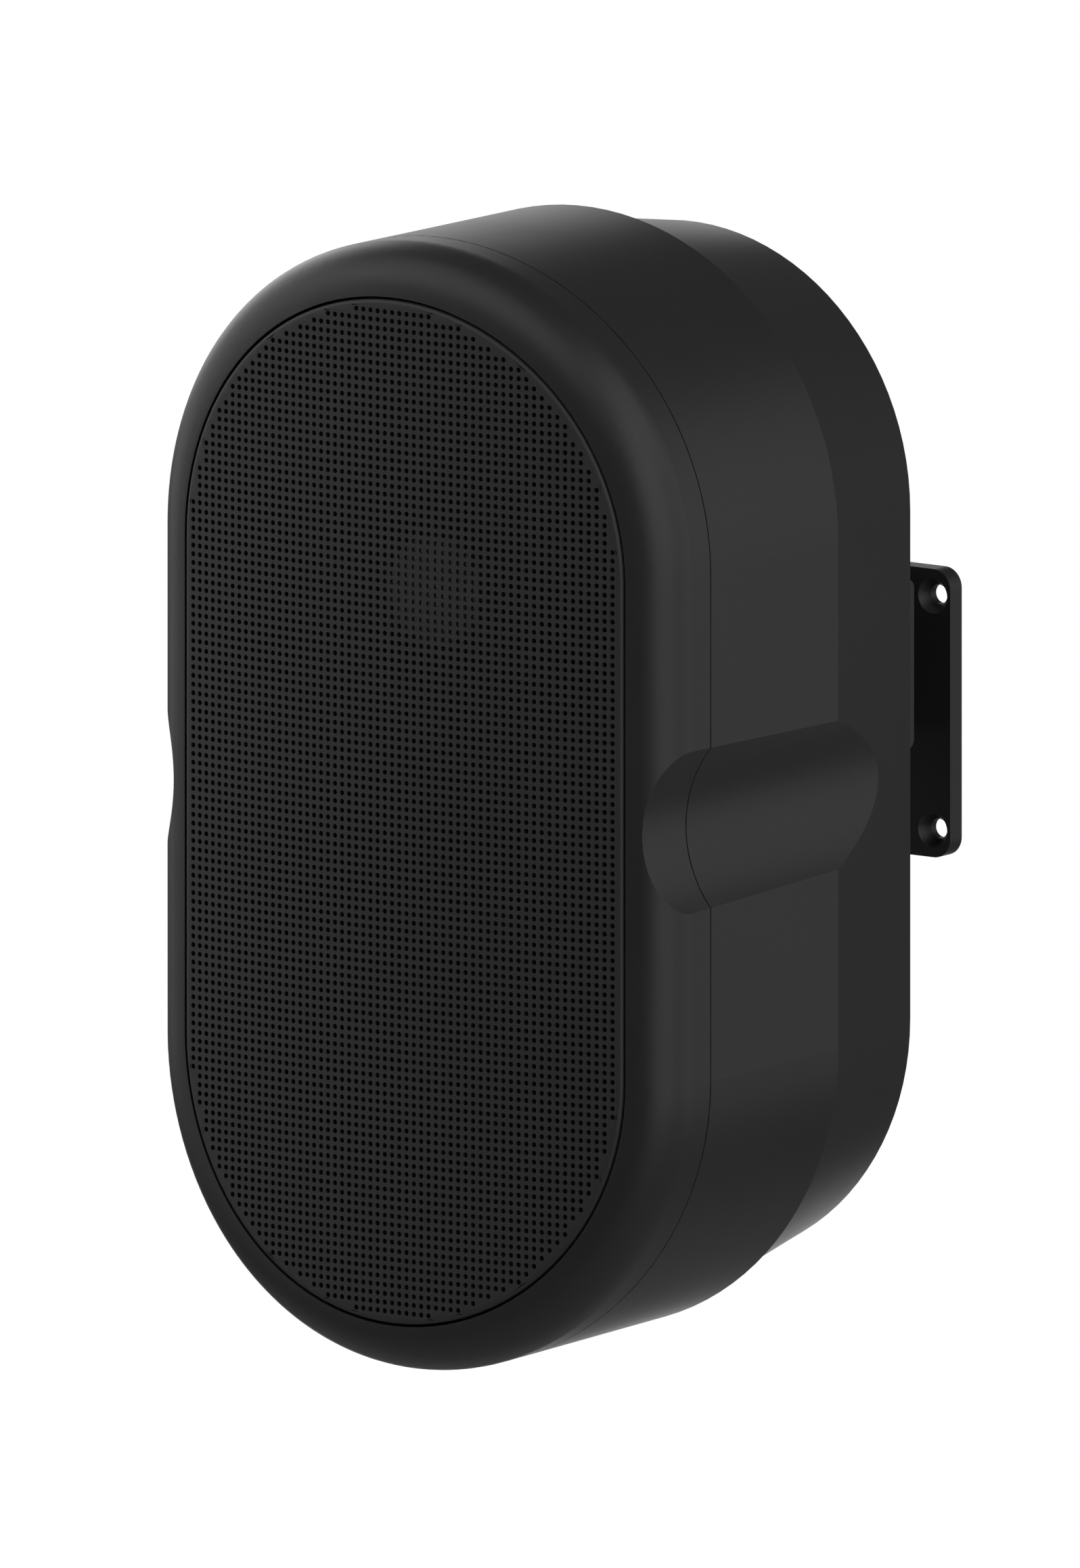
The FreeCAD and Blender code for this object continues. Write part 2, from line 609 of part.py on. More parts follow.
def woofer_frame():
    """Basket of the woofer with its flange, spider shelf, windows and screw holes."""
    landing_inside = WOOFER_OPENING + LIP_CLEARANCE
    shelf_inside = SHELF_RADIUS - SHELF_WIDTH
    shape = turned(
        0, WOOFER_Z,
        (FRAME_RADIUS, FRAME_FRONT),
        (FRAME_RADIUS, FRAME_BACK),
        (FRAME_INSIDE + FRAME_WALL, FRAME_BACK),
        (FRAME_INSIDE + FRAME_WALL, LANDING + FRAME_WALL),
        (SHELF_RADIUS + FRAME_WALL, SHELF_BACK),
        (shelf_inside + FRAME_WALL, SHELF_BACK),
        (shelf_inside + FRAME_WALL, WOOFER_PLATE_FRONT),
        (NECK_RADIUS, WOOFER_PLATE_FRONT),
        (NECK_RADIUS, FLOOR),
        (shelf_inside, FLOOR),
        (shelf_inside, SHELF),
        (SHELF_RADIUS, SHELF),
        (landing_inside, LANDING + FRAME_WALL),
        (landing_inside, LANDING),
        (FRAME_INSIDE, LANDING),
        (FRAME_INSIDE, FRAME_FRONT),
    )
    window_front = LANDING + FRAME_WALL + WINDOW_MARGIN
    window_back = SHELF - WINDOW_MARGIN
    for index in range(WINDOW_COUNT):
        window = turned(
            0, WOOFER_Z,
            (shelf_inside, window_front),
            (FRAME_RADIUS, window_front),
            (FRAME_RADIUS, window_back),
            (shelf_inside, window_back),
            angle=WINDOW_ANGLE,
        )
        window.rotate(place(0, 0, WOOFER_Z), ALONG_Y, 360 * index / WINDOW_COUNT)
        shape = shape.cut(window)
    return shape.cut(bores(woofer_screw_points(), SCREW_RADIUS + SCREW_FIT, FRAME_FRONT, FRAME_BACK))


def woofer_gasket():
    """Foam ring between the woofer's flange and the baffle."""
    shape = ring(0, WOOFER_Z, FRAME_INSIDE, FRAME_RADIUS, BAFFLE_BACK, FRAME_FRONT)
    return shape.cut(bores(woofer_screw_points(), SCREW_RADIUS + SCREW_FIT, BAFFLE_BACK, FRAME_FRONT))


def woofer_surround():
    """Half-roll rubber surround with a lip on the frame and a lip on the cone."""
    middle = (WOOFER_OPENING + CONE_RADIUS) / 2
    outer_roll = ROLL_WIDTH / 2
    inner_roll = outer_roll - ROLL_SHEET
    lip_front = LANDING - ROLL_SHEET
    foot = math.sqrt(outer_roll ** 2 - ROLL_SHEET ** 2)
    return turned(
        0, WOOFER_Z,
        (CONE_BODY_RADIUS, LANDING),
        (middle - inner_roll, LANDING),
        ((middle, LANDING - inner_roll), (middle + inner_roll, LANDING)),
        (WOOFER_OPENING + LIP_WIDTH, LANDING),
        (WOOFER_OPENING + LIP_WIDTH, lip_front),
        (middle + foot, lip_front),
        ((middle, LANDING - outer_roll), (middle - foot, lip_front)),
        (CONE_BODY_RADIUS, lip_front),
    )


def woofer_cone():
    """Cone with a flat rim for the surround and a neck on the voice-coil former."""
    return turned(
        0, WOOFER_Z,
        (CONE_RADIUS, LANDING),
        (CONE_RADIUS, LANDING + CONE_SHEET),
        (CONE_BODY_RADIUS, LANDING + CONE_SHEET),
        (FORMER_RADIUS, LANDING + CONE_HEIGHT + CONE_SHEET),
        (FORMER_RADIUS, LANDING + CONE_HEIGHT),
        (CONE_BODY_RADIUS, LANDING),
    )


def shell_cap(x, z, radius, height, sheet, base):
    """Thin spherical cap that stands forward of its base depth."""
    sphere = (radius ** 2 + height ** 2) / (2 * height)

    def crown(distance, size, top):
        return base - top + size - math.sqrt(size ** 2 - distance ** 2)

    inside_sphere = sphere - sheet
    inside_height = height - sheet
    inside_radius = math.sqrt(inside_sphere ** 2 - (inside_sphere - inside_height) ** 2)
    return turned(
        x, z,
        (0, base - height),
        ((radius / 2, crown(radius / 2, sphere, height)), (radius, base)),
        (inside_radius, base),
        (
            (inside_radius / 2, crown(inside_radius / 2, inside_sphere, inside_height)),
            (0, base - inside_height),
        ),
    )


def woofer_dust_cap():
    """Domed cap over the cone's neck."""
    slope = CONE_HEIGHT / (CONE_BODY_RADIUS - FORMER_RADIUS)
    base = LANDING + slope * (CONE_BODY_RADIUS - DUST_CAP_RADIUS)
    return shell_cap(0, WOOFER_Z, DUST_CAP_RADIUS, DUST_CAP_HEIGHT, DUST_CAP_SHEET, base)


def woofer_former():
    """Tube that carries the voice coil."""
    front = LANDING + CONE_HEIGHT
    return ring(0, WOOFER_Z, FORMER_RADIUS - FORMER_WALL, FORMER_RADIUS, front, front + FORMER_LENGTH)


def woofer_coil():
    """Winding on the former, centred on the top plate."""
    front = WOOFER_PLATE_FRONT - COIL_OVERHANG
    return ring(0, WOOFER_Z, FORMER_RADIUS, FORMER_RADIUS + COIL_WIRE, front, front + COIL_HEIGHT)


def woofer_spider():
    """Pleated disc that centres the former in the frame."""
    lip = SHELF_RADIUS - LIP_CLEARANCE
    fold_outside = SHELF_RADIUS - SHELF_WIDTH
    fold = (fold_outside - FORMER_RADIUS) / (2 * SPIDER_FOLDS)
    back_edge = [(lip, SHELF)]
    for index in range(2 * SPIDER_FOLDS + 1):
        rise = SPIDER_WAVE if index % 2 else 0
        back_edge.append((fold_outside - index * fold, SHELF - rise))
    front_edge = [(radius, depth - SPIDER_SHEET) for radius, depth in reversed(back_edge)]
    return turned(0, WOOFER_Z, *back_edge, *front_edge)


def woofer_top_plate():
    """Steel ring in front of the magnet."""
    bore = FORMER_RADIUS + COIL_WIRE + PLATE_GAP
    return ring(0, WOOFER_Z, bore, WOOFER_PLATE_RADIUS, WOOFER_PLATE_FRONT, WOOFER_MAGNET_FRONT)


def woofer_magnet():
    """Ferrite ring."""
    inner, outer = WOOFER_MAGNET_BORE, WOOFER_MAGNET_RADIUS
    return ring(0, WOOFER_Z, inner, outer, WOOFER_MAGNET_FRONT, WOOFER_YOKE_FRONT)


def woofer_pole_yoke():
    """Back plate and pole in one turned piece."""
    pole = FORMER_RADIUS - FORMER_WALL - POLE_GAP
    plate = rod(0, WOOFER_Z, WOOFER_PLATE_RADIUS, WOOFER_YOKE_FRONT, WOOFER_BACK)
    return plate.fuse(rod(0, WOOFER_Z, pole, WOOFER_PLATE_FRONT, WOOFER_YOKE_FRONT))


def woofer_screws():
    """Screws through the woofer's flange into the baffle."""
    return driven(woofer_screw_points(), FRAME_BACK, FRAME_BACK - BAFFLE_BACK + SCREW_BITE,
                  SCREW_RADIUS, SCREW_HEAD_RADIUS, SCREW_HEAD)


def tweeter_faceplate():
    """Round plate behind the baffle, recessed for the diaphragm's lip."""
    lip = DOME_RADIUS + DOME_ROLL + DOME_LIP + LIP_CLEARANCE
    shape = ring(0, TWEETER_Z, TWEETER_THROAT, FACEPLATE_RADIUS, BAFFLE_BACK, DOME_PLANE)
    shape = shape.cut(rod(0, TWEETER_Z, lip, DOME_PLANE - DOME_SHEET, DOME_PLANE))
    return shape.cut(bores(tweeter_screw_points(), SCREW_RADIUS + SCREW_FIT, BAFFLE_BACK, DOME_PLANE))


def tweeter_dome():
    """Soft dome with a flat rim."""
    inside = DOME_RADIUS - DOME_RIM
    rim = ring(0, TWEETER_Z, inside, DOME_RADIUS, DOME_PLANE - DOME_SHEET, DOME_PLANE)
    dome = shell_cap(0, TWEETER_Z, DOME_RADIUS, DOME_HEIGHT, DOME_SHEET, DOME_PLANE - DOME_SHEET)
    return dome.fuse(rim)


def tweeter_surround():
    """Small half roll round the dome, with a lip clamped behind the faceplate."""
    roll_outside = DOME_RADIUS + DOME_ROLL
    middle = DOME_RADIUS + DOME_ROLL / 2
    outer_roll = DOME_ROLL / 2
    inner_roll = outer_roll - DOME_SHEET
    lip_front = DOME_PLANE - DOME_SHEET
    foot = math.sqrt(outer_roll ** 2 - DOME_SHEET ** 2)
    return turned(
        0, TWEETER_Z,
        (DOME_RADIUS, DOME_PLANE),
        (middle - inner_roll, DOME_PLANE),
        ((middle, DOME_PLANE - inner_roll), (middle + inner_roll, DOME_PLANE)),
        (roll_outside + DOME_LIP, DOME_PLANE),
        (roll_outside + DOME_LIP, lip_front),
        (middle + foot, lip_front),
        ((middle, DOME_PLANE - outer_roll), (DOME_RADIUS, DOME_PLANE)),
    )


def tweeter_coil():
    """Winding under the dome's rim."""
    inside = DOME_RADIUS - TWEETER_COIL_WIRE
    return ring(0, TWEETER_Z, inside, DOME_RADIUS, DOME_PLANE, DOME_PLANE + TWEETER_COIL_HEIGHT)


def tweeter_top_plate():
    """Steel ring behind the faceplate."""
    bore = DOME_RADIUS + TWEETER_GAP
    return ring(0, TWEETER_Z, bore, TWEETER_PLATE_RADIUS, DOME_PLANE, TWEETER_MAGNET_FRONT)


def tweeter_magnet():
    """Ferrite ring."""
    inner, outer = TWEETER_MAGNET_BORE, TWEETER_MAGNET_RADIUS
    return ring(0, TWEETER_Z, inner, outer, TWEETER_MAGNET_FRONT, TWEETER_YOKE_FRONT)


def tweeter_pole_yoke():
    """Back plate and pole in one turned piece."""
    pole = DOME_RADIUS - TWEETER_COIL_WIRE - TWEETER_GAP
    plate = rod(0, TWEETER_Z, TWEETER_PLATE_RADIUS, TWEETER_YOKE_FRONT, TWEETER_YOKE_FRONT + TWEETER_YOKE)
    return plate.fuse(rod(0, TWEETER_Z, pole, DOME_PLANE, TWEETER_YOKE_FRONT))


def tweeter_screws():
    """Screws through the faceplate into the baffle."""
    return driven(tweeter_screw_points(), DOME_PLANE, FACEPLATE + SCREW_BITE,
                  SCREW_RADIUS, SCREW_HEAD_RADIUS, SCREW_HEAD)


def crossover_board():
    """Circuit board on the standoffs of the cabinet's back wall."""
    shape = block(0, BOARD_Z, BOARD_WIDTH, BOARD_HEIGHT, BOARD_FRONT, BOARD_BACK)
    return shape.cut(bores(board_screw_points(), SCREW_RADIUS + SCREW_FIT, BOARD_FRONT, BOARD_BACK))


def crossover_inductor():
    """Air-cored coil standing on the board."""
    x = INDUCTOR_RADIUS + PART_SPACING / 2
    return ring(-x, BOARD_Z, INDUCTOR_BORE, INDUCTOR_RADIUS, BOARD_FRONT - INDUCTOR_HEIGHT, BOARD_FRONT)


def crossover_capacitors():
    """Two film capacitors lying side by side on the board."""
    cans = []
    for side in (1, -1):
        z = BOARD_Z + side * (CAPACITOR_RADIUS + PART_SPACING / 2)
        start = place(PART_SPACING / 2, BOARD_FRONT - CAPACITOR_RADIUS, z)
        cans.append(Part.makeCylinder(CAPACITOR_RADIUS, CAPACITOR_LENGTH, start, ALONG_X))
    return Part.makeCompound(cans)


def crossover_resistor():
    """Ceramic resistor along the board's lower edge."""
    z = BOARD_Z - 2 * CAPACITOR_RADIUS - PART_SPACING - RESISTOR_SIDE / 2
    return block(0, z, RESISTOR_LENGTH, RESISTOR_SIDE, BOARD_FRONT - RESISTOR_SIDE, BOARD_FRONT)


def crossover_screws():
    """Screws through the board into the standoffs, with their heads towards the front."""
    screws = []
    for x, z in board_screw_points():
        head = rod(x, z, SCREW_HEAD_RADIUS, BOARD_FRONT - SCREW_HEAD, BOARD_FRONT)
        shank = rod(x, z, SCREW_RADIUS, BOARD_FRONT, BOARD_BACK + SCREW_BITE)
        screws.append(head.fuse(shank))
    return Part.makeCompound(screws)


def tag_places():
    """Across places of a driver's two solder tags, black then red."""
    return [side * TAG_SPACING / 2 for side in (-1, 1)]


def woofer_tag_strip():
    """Insulating strip on the back of the frame's spider shelf."""
    z = WOOFER_Z + SHELF_RADIUS
    return block(0, z, TAG_STRIP_WIDTH, TAG_STRIP_HEIGHT, SHELF_BACK, SHELF_BACK + TAG_STRIP)


def woofer_tags():
    """Two solder tags on the strip, standing up past the frame."""
    front = SHELF_BACK + TAG_STRIP
    z = WOOFER_Z + SHELF_RADIUS + (TAG_LENGTH - TAG_STRIP_HEIGHT) / 2
    tags = [block(x, z, TAG_WIDTH, TAG_LENGTH, front, front + TAG_SHEET) for x in tag_places()]
    return Part.makeCompound(tags)


def tweeter_tags():
    """Two solder tags that stand back from the faceplate above the magnet."""
    z = TWEETER_Z + tweeter_margin()
    tags = [block(x, z, TAG_WIDTH, TAG_SHEET, DOME_PLANE, DOME_PLANE + TAG_LENGTH) for x in tag_places()]
    return Part.makeCompound(tags)


def lead(*points):
    """Insulated wire along straight runs that are joined by tangent arcs."""
    edges = []
    here = points[0]
    for before, corner, after in zip(points, points[1:], points[2:]):
        reach = LEAD_BEND_SHARE * min((before - corner).Length, (after - corner).Length)
        backward = (before - corner).normalize()
        forward = (after - corner).normalize()
        inward = (backward + forward).normalize()
        half_angle = inward.getAngle(forward)
        bend = reach * math.tan(half_angle)
        start = corner + backward * reach
        middle = corner + inward * (bend / math.sin(half_angle) - bend)
        end = corner + forward * reach
        edges.append(Part.LineSegment(here, start).toShape())
        edges.append(Part.Arc(start, middle, end).toShape())
        here = end
    edges.append(Part.LineSegment(here, points[-1]).toShape())
    section = Part.Wire(Part.makeCircle(LEAD_RADIUS, points[0], points[1] - points[0]))
    return Part.Wire(edges).makePipeShell([section], True, False)


def hookup_leads(side):
    """Three leads of one colour, from the crossover to the terminals, the woofer and the tweeter.

    Both lower leads land on the board beside the resistor, and the upper one lands above the other parts.
    """
    landing = BOARD_FRONT - LEAD_LANDING
    low_z = BOARD_Z - BOARD_HEIGHT / 2 + BOARD_MARGIN
    high_z = BOARD_Z + BOARD_HEIGHT / 2 - BOARD_MARGIN
    woofer_x = side * (RESISTOR_LENGTH + LEAD_SPACING) / 2
    input_x = woofer_x + side * LEAD_SPACING
    tag_x = side * TAG_SPACING / 2
    tag_z = WOOFER_Z + SHELF_RADIUS + TAG_LENGTH / 2
    woofer_lead = lead(
        place(tag_x, SHELF_BACK + TAG_STRIP + TAG_SHEET, tag_z),
        place(tag_x, WOOFER_BACK, tag_z),
        place(woofer_x, landing, low_z),
        place(woofer_x, BOARD_FRONT, low_z),
    )
    contact_x = side * (BAY + RIB) / 2
    tail = CUP_FLOOR - CUP_WALL - CONTACT_TAIL / 2
    input_lead = lead(
        place(contact_x, tail, TERMINAL_Z + CONTACT_OFFSET + CONTACT_SHEET / 2),
        place(contact_x, tail, YOKE_RAISE),
        place(input_x, landing, low_z),
        place(input_x, BOARD_FRONT, low_z),
    )
    tag_depth = DOME_PLANE + TAG_LENGTH / 2
    tag_top = TWEETER_Z + tweeter_margin() + TAG_SHEET / 2
    tweeter_lead = lead(
        place(tag_x, tag_depth, tag_top),
        place(tag_x, tag_depth, tag_top + LEAD_RISE),
        place(tag_x, (tag_depth + BOARD_FRONT) / 2, tag_top + LEAD_RISE + LEAD_CREST),
        place(tag_x, landing, high_z),
        place(tag_x, BOARD_FRONT, high_z),
    )
    return Part.makeCompound([woofer_lead, input_lead, tweeter_lead])


def lever_centres():
    """Middles of the two lever bays across the cup."""
    return [side * (BAY + RIB) / 2 for side in (-1, 1)]


def bar_across(x, width, radius):
    """Round bar across the cup on the levers' pivot line."""
    start = place(x - width / 2, LEVER_PIVOT_DEPTH, TERMINAL_Z + PIVOT_OFFSET)
    return Part.makeCylinder(radius, width, start, ALONG_X)


def contact_strip(x):
    """Brass strip through the cup's floor, under the clamping end of a lever."""
    lever_inside = LEVER_PIVOT_DEPTH - LEVER_THICKNESS / 2
    front = CUP_FLOOR - CUP_WALL - CONTACT_TAIL
    back = lever_inside - CONTACT_GAP
    return block(x, TERMINAL_Z + CONTACT_OFFSET, CONTACT_WIDTH, CONTACT_SHEET, front, back)


def terminal_cup():
    """Recessed cup with a flange, and ribs that carry the levers."""
    flange_back = CABINET_DEPTH + TERMINAL_FLANGE
    flange = block(0, TERMINAL_Z, FLANGE_WIDTH, FLANGE_HEIGHT, CABINET_DEPTH, flange_back)
    flange = flange.makeFillet(TERMINAL_CORNER, [edge for edge in flange.Edges if runs_along(edge, ALONG_Y)])
    tub_width = CUP_WIDTH + 2 * CUP_WALL
    tub_height = CUP_HEIGHT + 2 * CUP_WALL
    tub = block(0, TERMINAL_Z, tub_width, tub_height, CUP_FLOOR - CUP_WALL, CABINET_DEPTH)
    recess = block(0, TERMINAL_Z, CUP_WIDTH, CUP_HEIGHT, CUP_FLOOR, flange_back)
    shape = flange.fuse(tub).cut(recess)
    rib_z = TERMINAL_Z + PIVOT_OFFSET
    rib_crown = LEVER_PIVOT_DEPTH + RIB_CROWN
    for index in (-1, 0, 1):
        rib_x = index * (BAY + RIB)
        shape = shape.fuse(block(rib_x, rib_z, RIB, 2 * RIB_HALF_HEIGHT, CUP_FLOOR, rib_crown))
    for x in lever_centres():
        shape = shape.cut(bar_across(x, BAY + 2 * TRUNNION_REACH, TRUNNION_RADIUS + TRUNNION_FIT))
        shape = shape.cut(contact_strip(x))
    return shape.cut(bores(terminal_screw_points(), SCREW_RADIUS + SCREW_FIT, CABINET_DEPTH, flange_back))


def terminal_lever(x):
    """Push lever with a ridged pad at its lower end and trunnions near its middle."""
    half = LEVER_THICKNESS / 2
    front = LEVER_PIVOT_DEPTH - half
    back = LEVER_PIVOT_DEPTH + half
    plate = block(x, TERMINAL_Z, LEVER_WIDTH, 2 * LEVER_HALF_LENGTH, front, back)
    pad_z = TERMINAL_Z - LEVER_HALF_LENGTH + LEVER_PAD / 2
    pad = block(x, pad_z, LEVER_WIDTH, LEVER_PAD, back, back + LEVER_PAD_RISE)
    lever = plate.fuse(pad).removeSplitter()
    lever = lever.makeFillet(LEVER_ROUND, [edge for edge in lever.Edges if runs_along(edge, ALONG_Y)])
    ridge_front = back + LEVER_PAD_RISE
    ridge_back = ridge_front + LEVER_RIDGE
    ridge_width = LEVER_WIDTH - 2 * LEVER_ROUND
    for index in range(LEVER_RIDGES):
        z = pad_z + (index - (LEVER_RIDGES - 1) / 2) * LEVER_RIDGE_PITCH
        lever = lever.fuse(block(x, z, ridge_width, LEVER_RIDGE_WIDTH, ridge_front, ridge_back))
    trunnion_length = BAY + 2 * TRUNNION_REACH - 2 * TRUNNION_FIT
    return lever.fuse(bar_across(x, trunnion_length, TRUNNION_RADIUS))


def terminal_contacts():
    """Both brass contact strips."""
    return Part.makeCompound([contact_strip(x) for x in lever_centres()])


def terminal_screws():
    """Screws through the cup's flange into the cabinet's back."""
    return driven(terminal_screw_points(), CABINET_DEPTH + TERMINAL_FLANGE, TERMINAL_FLANGE + BACK_WALL,
                  SCREW_RADIUS, SCREW_HEAD_RADIUS, SCREW_HEAD)


def runs_along(edge, direction):
    """True for a straight edge that is parallel to a direction."""
    if not isinstance(edge.Curve, Part.Line):
        return False
    return edge.Curve.Direction.cross(direction).Length < PARALLEL_TOLERANCE


def bar_x(x_start, x_end, radius):
    """Round bar along the tilt axis."""
    return Part.makeCylinder(radius, x_end - x_start, place(x_start, AXIS_DEPTH, YOKE_RAISE), ALONG_X)


def taper_x(x_start, x_end, start_radius, end_radius):
    """Round taper along the tilt axis."""
    foot = place(x_start, AXIS_DEPTH, YOKE_RAISE)
    return Part.makeCone(start_radius, end_radius, x_end - x_start, foot, ALONG_X)


def bar_z(z_start, z_end, radius):
    """Round bar along the pan axis, with heights counted from the tilt axis."""
    return Part.makeCylinder(radius, z_end - z_start, place(0, AXIS_DEPTH, YOKE_RAISE + z_start), ALONG_Z)


def mount_yoke():
    """Folded steel yoke on the cabinet's back, with a cheek on each side of the pivot block."""
    back = CABINET_DEPTH + YOKE_REACH
    shape = block(0, YOKE_RAISE, YOKE_WIDTH, YOKE_HEIGHT, CABINET_DEPTH, back)
    bends = []
    for edge in shape.Edges:
        if runs_along(edge, ALONG_Z) and edge.CenterOfMass.y < place(0, AXIS_DEPTH, 0).y:
            bends.append(edge)
    shape = shape.makeFillet(YOKE_BEND, bends)
    inside = block(0, YOKE_RAISE, 2 * YOKE_INSIDE, YOKE_HEIGHT, CABINET_DEPTH + YOKE_SHEET, back)
    folds = []
    for edge in inside.Edges:
        if runs_along(edge, ALONG_Z) and edge.CenterOfMass.y < place(0, AXIS_DEPTH, 0).y:
            folds.append(edge)
    shape = shape.cut(inside.makeFillet(YOKE_BEND - YOKE_SHEET, folds))
    corners = []
    for edge in shape.Edges:
        if runs_along(edge, ALONG_X) and edge.CenterOfMass.y > place(0, AXIS_DEPTH, 0).y:
            corners.append(edge)
    shape = shape.makeFillet(YOKE_CORNER, corners)
    shape = shape.cut(bar_x(-YOKE_WIDTH, YOKE_WIDTH, TILT_SHOULDER_RADIUS + PIVOT_FIT))
    cheek_outside = YOKE_WIDTH / 2
    sink = taper_x(cheek_outside - TILT_HEAD, cheek_outside,
                   TILT_SHOULDER_RADIUS + RUNNING_GAP, TILT_HEAD_RADIUS + RUNNING_GAP)
    shape = shape.cut([sink, sink.mirror(Vector(0, 0, 0), ALONG_X)])
    web_back = CABINET_DEPTH + YOKE_SHEET
    return shape.cut(bores(yoke_screw_points(), YOKE_SCREW_RADIUS + SCREW_FIT, CABINET_DEPTH, web_back))


def yoke_screws():
    """Screws through the yoke's web into the cabinet's inserts."""
    seat = CABINET_DEPTH + YOKE_SHEET
    return driven(yoke_screw_points(), seat, YOKE_SHEET + YOKE_SCREW_LENGTH,
                  YOKE_SCREW_RADIUS, YOKE_SCREW_HEAD_RADIUS, YOKE_SCREW_HEAD)


def pivot_block():
    """Cross-shaped casting that turns on the pan pin and carries the tilt screws."""
    shape = bar_x(-BLOCK_HALF_WIDTH, BLOCK_HALF_WIDTH, BLOCK_BARREL_RADIUS)
    shape = shape.fuse(bar_z(-BLOCK_HALF_HEIGHT, BLOCK_HALF_HEIGHT, BLOCK_HUB_RADIUS))
    shape = shape.cut(bar_z(-BLOCK_HALF_HEIGHT, BLOCK_HALF_HEIGHT, PAN_PIN_RADIUS + PIVOT_FIT))
    bore_start = BLOCK_HALF_WIDTH - TILT_THREAD_LENGTH
    for start in (bore_start, -BLOCK_HALF_WIDTH):
        shape = shape.cut(bar_x(start, start + TILT_THREAD_LENGTH, TILT_THREAD_RADIUS + SCREW_FIT))
    return shape


def tilt_screws():
    """Countersunk shoulder screws that hold the yoke's cheeks to the pivot block."""
    cheek_outside = YOKE_WIDTH / 2
    head_start = cheek_outside - TILT_HEAD
    thread = bar_x(BLOCK_HALF_WIDTH - TILT_THREAD_LENGTH, BLOCK_HALF_WIDTH, TILT_THREAD_RADIUS)
    shoulder = bar_x(BLOCK_HALF_WIDTH, head_start, TILT_SHOULDER_RADIUS)
    head = taper_x(head_start, cheek_outside, TILT_SHOULDER_RADIUS, TILT_HEAD_RADIUS)
    key_floor = cheek_outside - TILT_HEAD * SOCKET_DEPTH_SHARE
    key_points = around(SOCKET_SIDES, TILT_HEAD_RADIUS * SOCKET_RADIUS_SHARE, 0)
    corners = [place(key_floor, AXIS_DEPTH + dy, YOKE_RAISE + dz) for dy, dz in key_points]
    key = Part.Face(Part.makePolygon(corners + corners[:1])).extrude(Vector(TILT_HEAD, 0, 0))
    right = thread.fuse([shoulder, head]).cut(key)
    return Part.makeCompound([right, right.mirror(Vector(0, 0, 0), ALONG_X)])


def tilt_washers():
    """Friction washers between the pivot block and the yoke's cheeks."""
    right = bar_x(BLOCK_HALF_WIDTH, BLOCK_HALF_WIDTH + WASHER, WASHER_RADIUS)
    right = right.cut(bar_x(BLOCK_HALF_WIDTH, BLOCK_HALF_WIDTH + WASHER, TILT_SHOULDER_RADIUS + SCREW_FIT))
    return Part.makeCompound([right, right.mirror(Vector(0, 0, 0), ALONG_X)])


def pan_washers():
    """Friction washers between the pivot block and the wall plate's lugs."""
    washers = []
    for start in (LUG_INSIDE - WASHER, -LUG_INSIDE):
        washer = bar_z(start, start + WASHER, WASHER_RADIUS)
        washers.append(washer.cut(bar_z(start, start + WASHER, PAN_PIN_RADIUS + SCREW_FIT)))
    return Part.makeCompound(washers)


def pan_pin():
    """Headed pin through the lugs and the pivot block."""
    shank = bar_z(-LUG_OUTSIDE - PAN_TAIL, LUG_OUTSIDE, PAN_PIN_RADIUS)
    return shank.fuse(bar_z(LUG_OUTSIDE, LUG_OUTSIDE + PAN_HEAD, PAN_HEAD_RADIUS))


def pan_clip():
    """Retaining ring under the lower lug."""
    clip = bar_z(-LUG_OUTSIDE - PAN_CLIP, -LUG_OUTSIDE, PAN_HEAD_RADIUS)
    return clip.cut(bar_z(-LUG_OUTSIDE - PAN_CLIP, -LUG_OUTSIDE, PAN_PIN_RADIUS + SCREW_FIT))


def wall_plate():
    """Square plate with countersunk wall holes and two lugs for the pan pin."""
    half = PLATE_SIDE / 2
    shape = Part.makeBox(PLATE_SIDE, PLATE, PLATE_SIDE, Vector(-half, -PLATE, -half))
    shape = shape.makeFillet(PLATE_CORNER, [edge for edge in shape.Edges if runs_along(edge, ALONG_Y)])
    plate_front = -PLATE
    axis_y = -AXIS_TO_WALL
    for start in (LUG_INSIDE, -LUG_OUTSIDE):
        z = AXIS_RAISE + start
        corners = [
            Vector(-LUG_RADIUS, axis_y, z),
            Vector(LUG_RADIUS, axis_y, z),
            Vector(LUG_ROOT, plate_front, z),
            Vector(-LUG_ROOT, plate_front, z),
        ]
        lug = Part.Face(Part.makePolygon(corners + corners[:1])).extrude(Vector(0, 0, LUG))
        shape = shape.fuse([lug, bar_z(start, start + LUG, LUG_RADIUS)])
    shape = shape.cut(bar_z(-LUG_OUTSIDE, LUG_OUTSIDE, PAN_PIN_RADIUS + SCREW_FIT))
    for side_x in (1, -1):
        for side_z in (1, -1):
            hole = Vector(side_x * PLATE_HOLE_SPACING_X / 2, plate_front, side_z * PLATE_HOLE_SPACING_Z / 2)
            shape = shape.cut(Part.makeCylinder(PLATE_HOLE_RADIUS, PLATE, hole, ALONG_Y))
            shape = shape.cut(Part.makeCone(PLATE_SINK_RADIUS, PLATE_HOLE_RADIUS, PLATE_SINK, hole, ALONG_Y))
    return shape.removeSplitter()


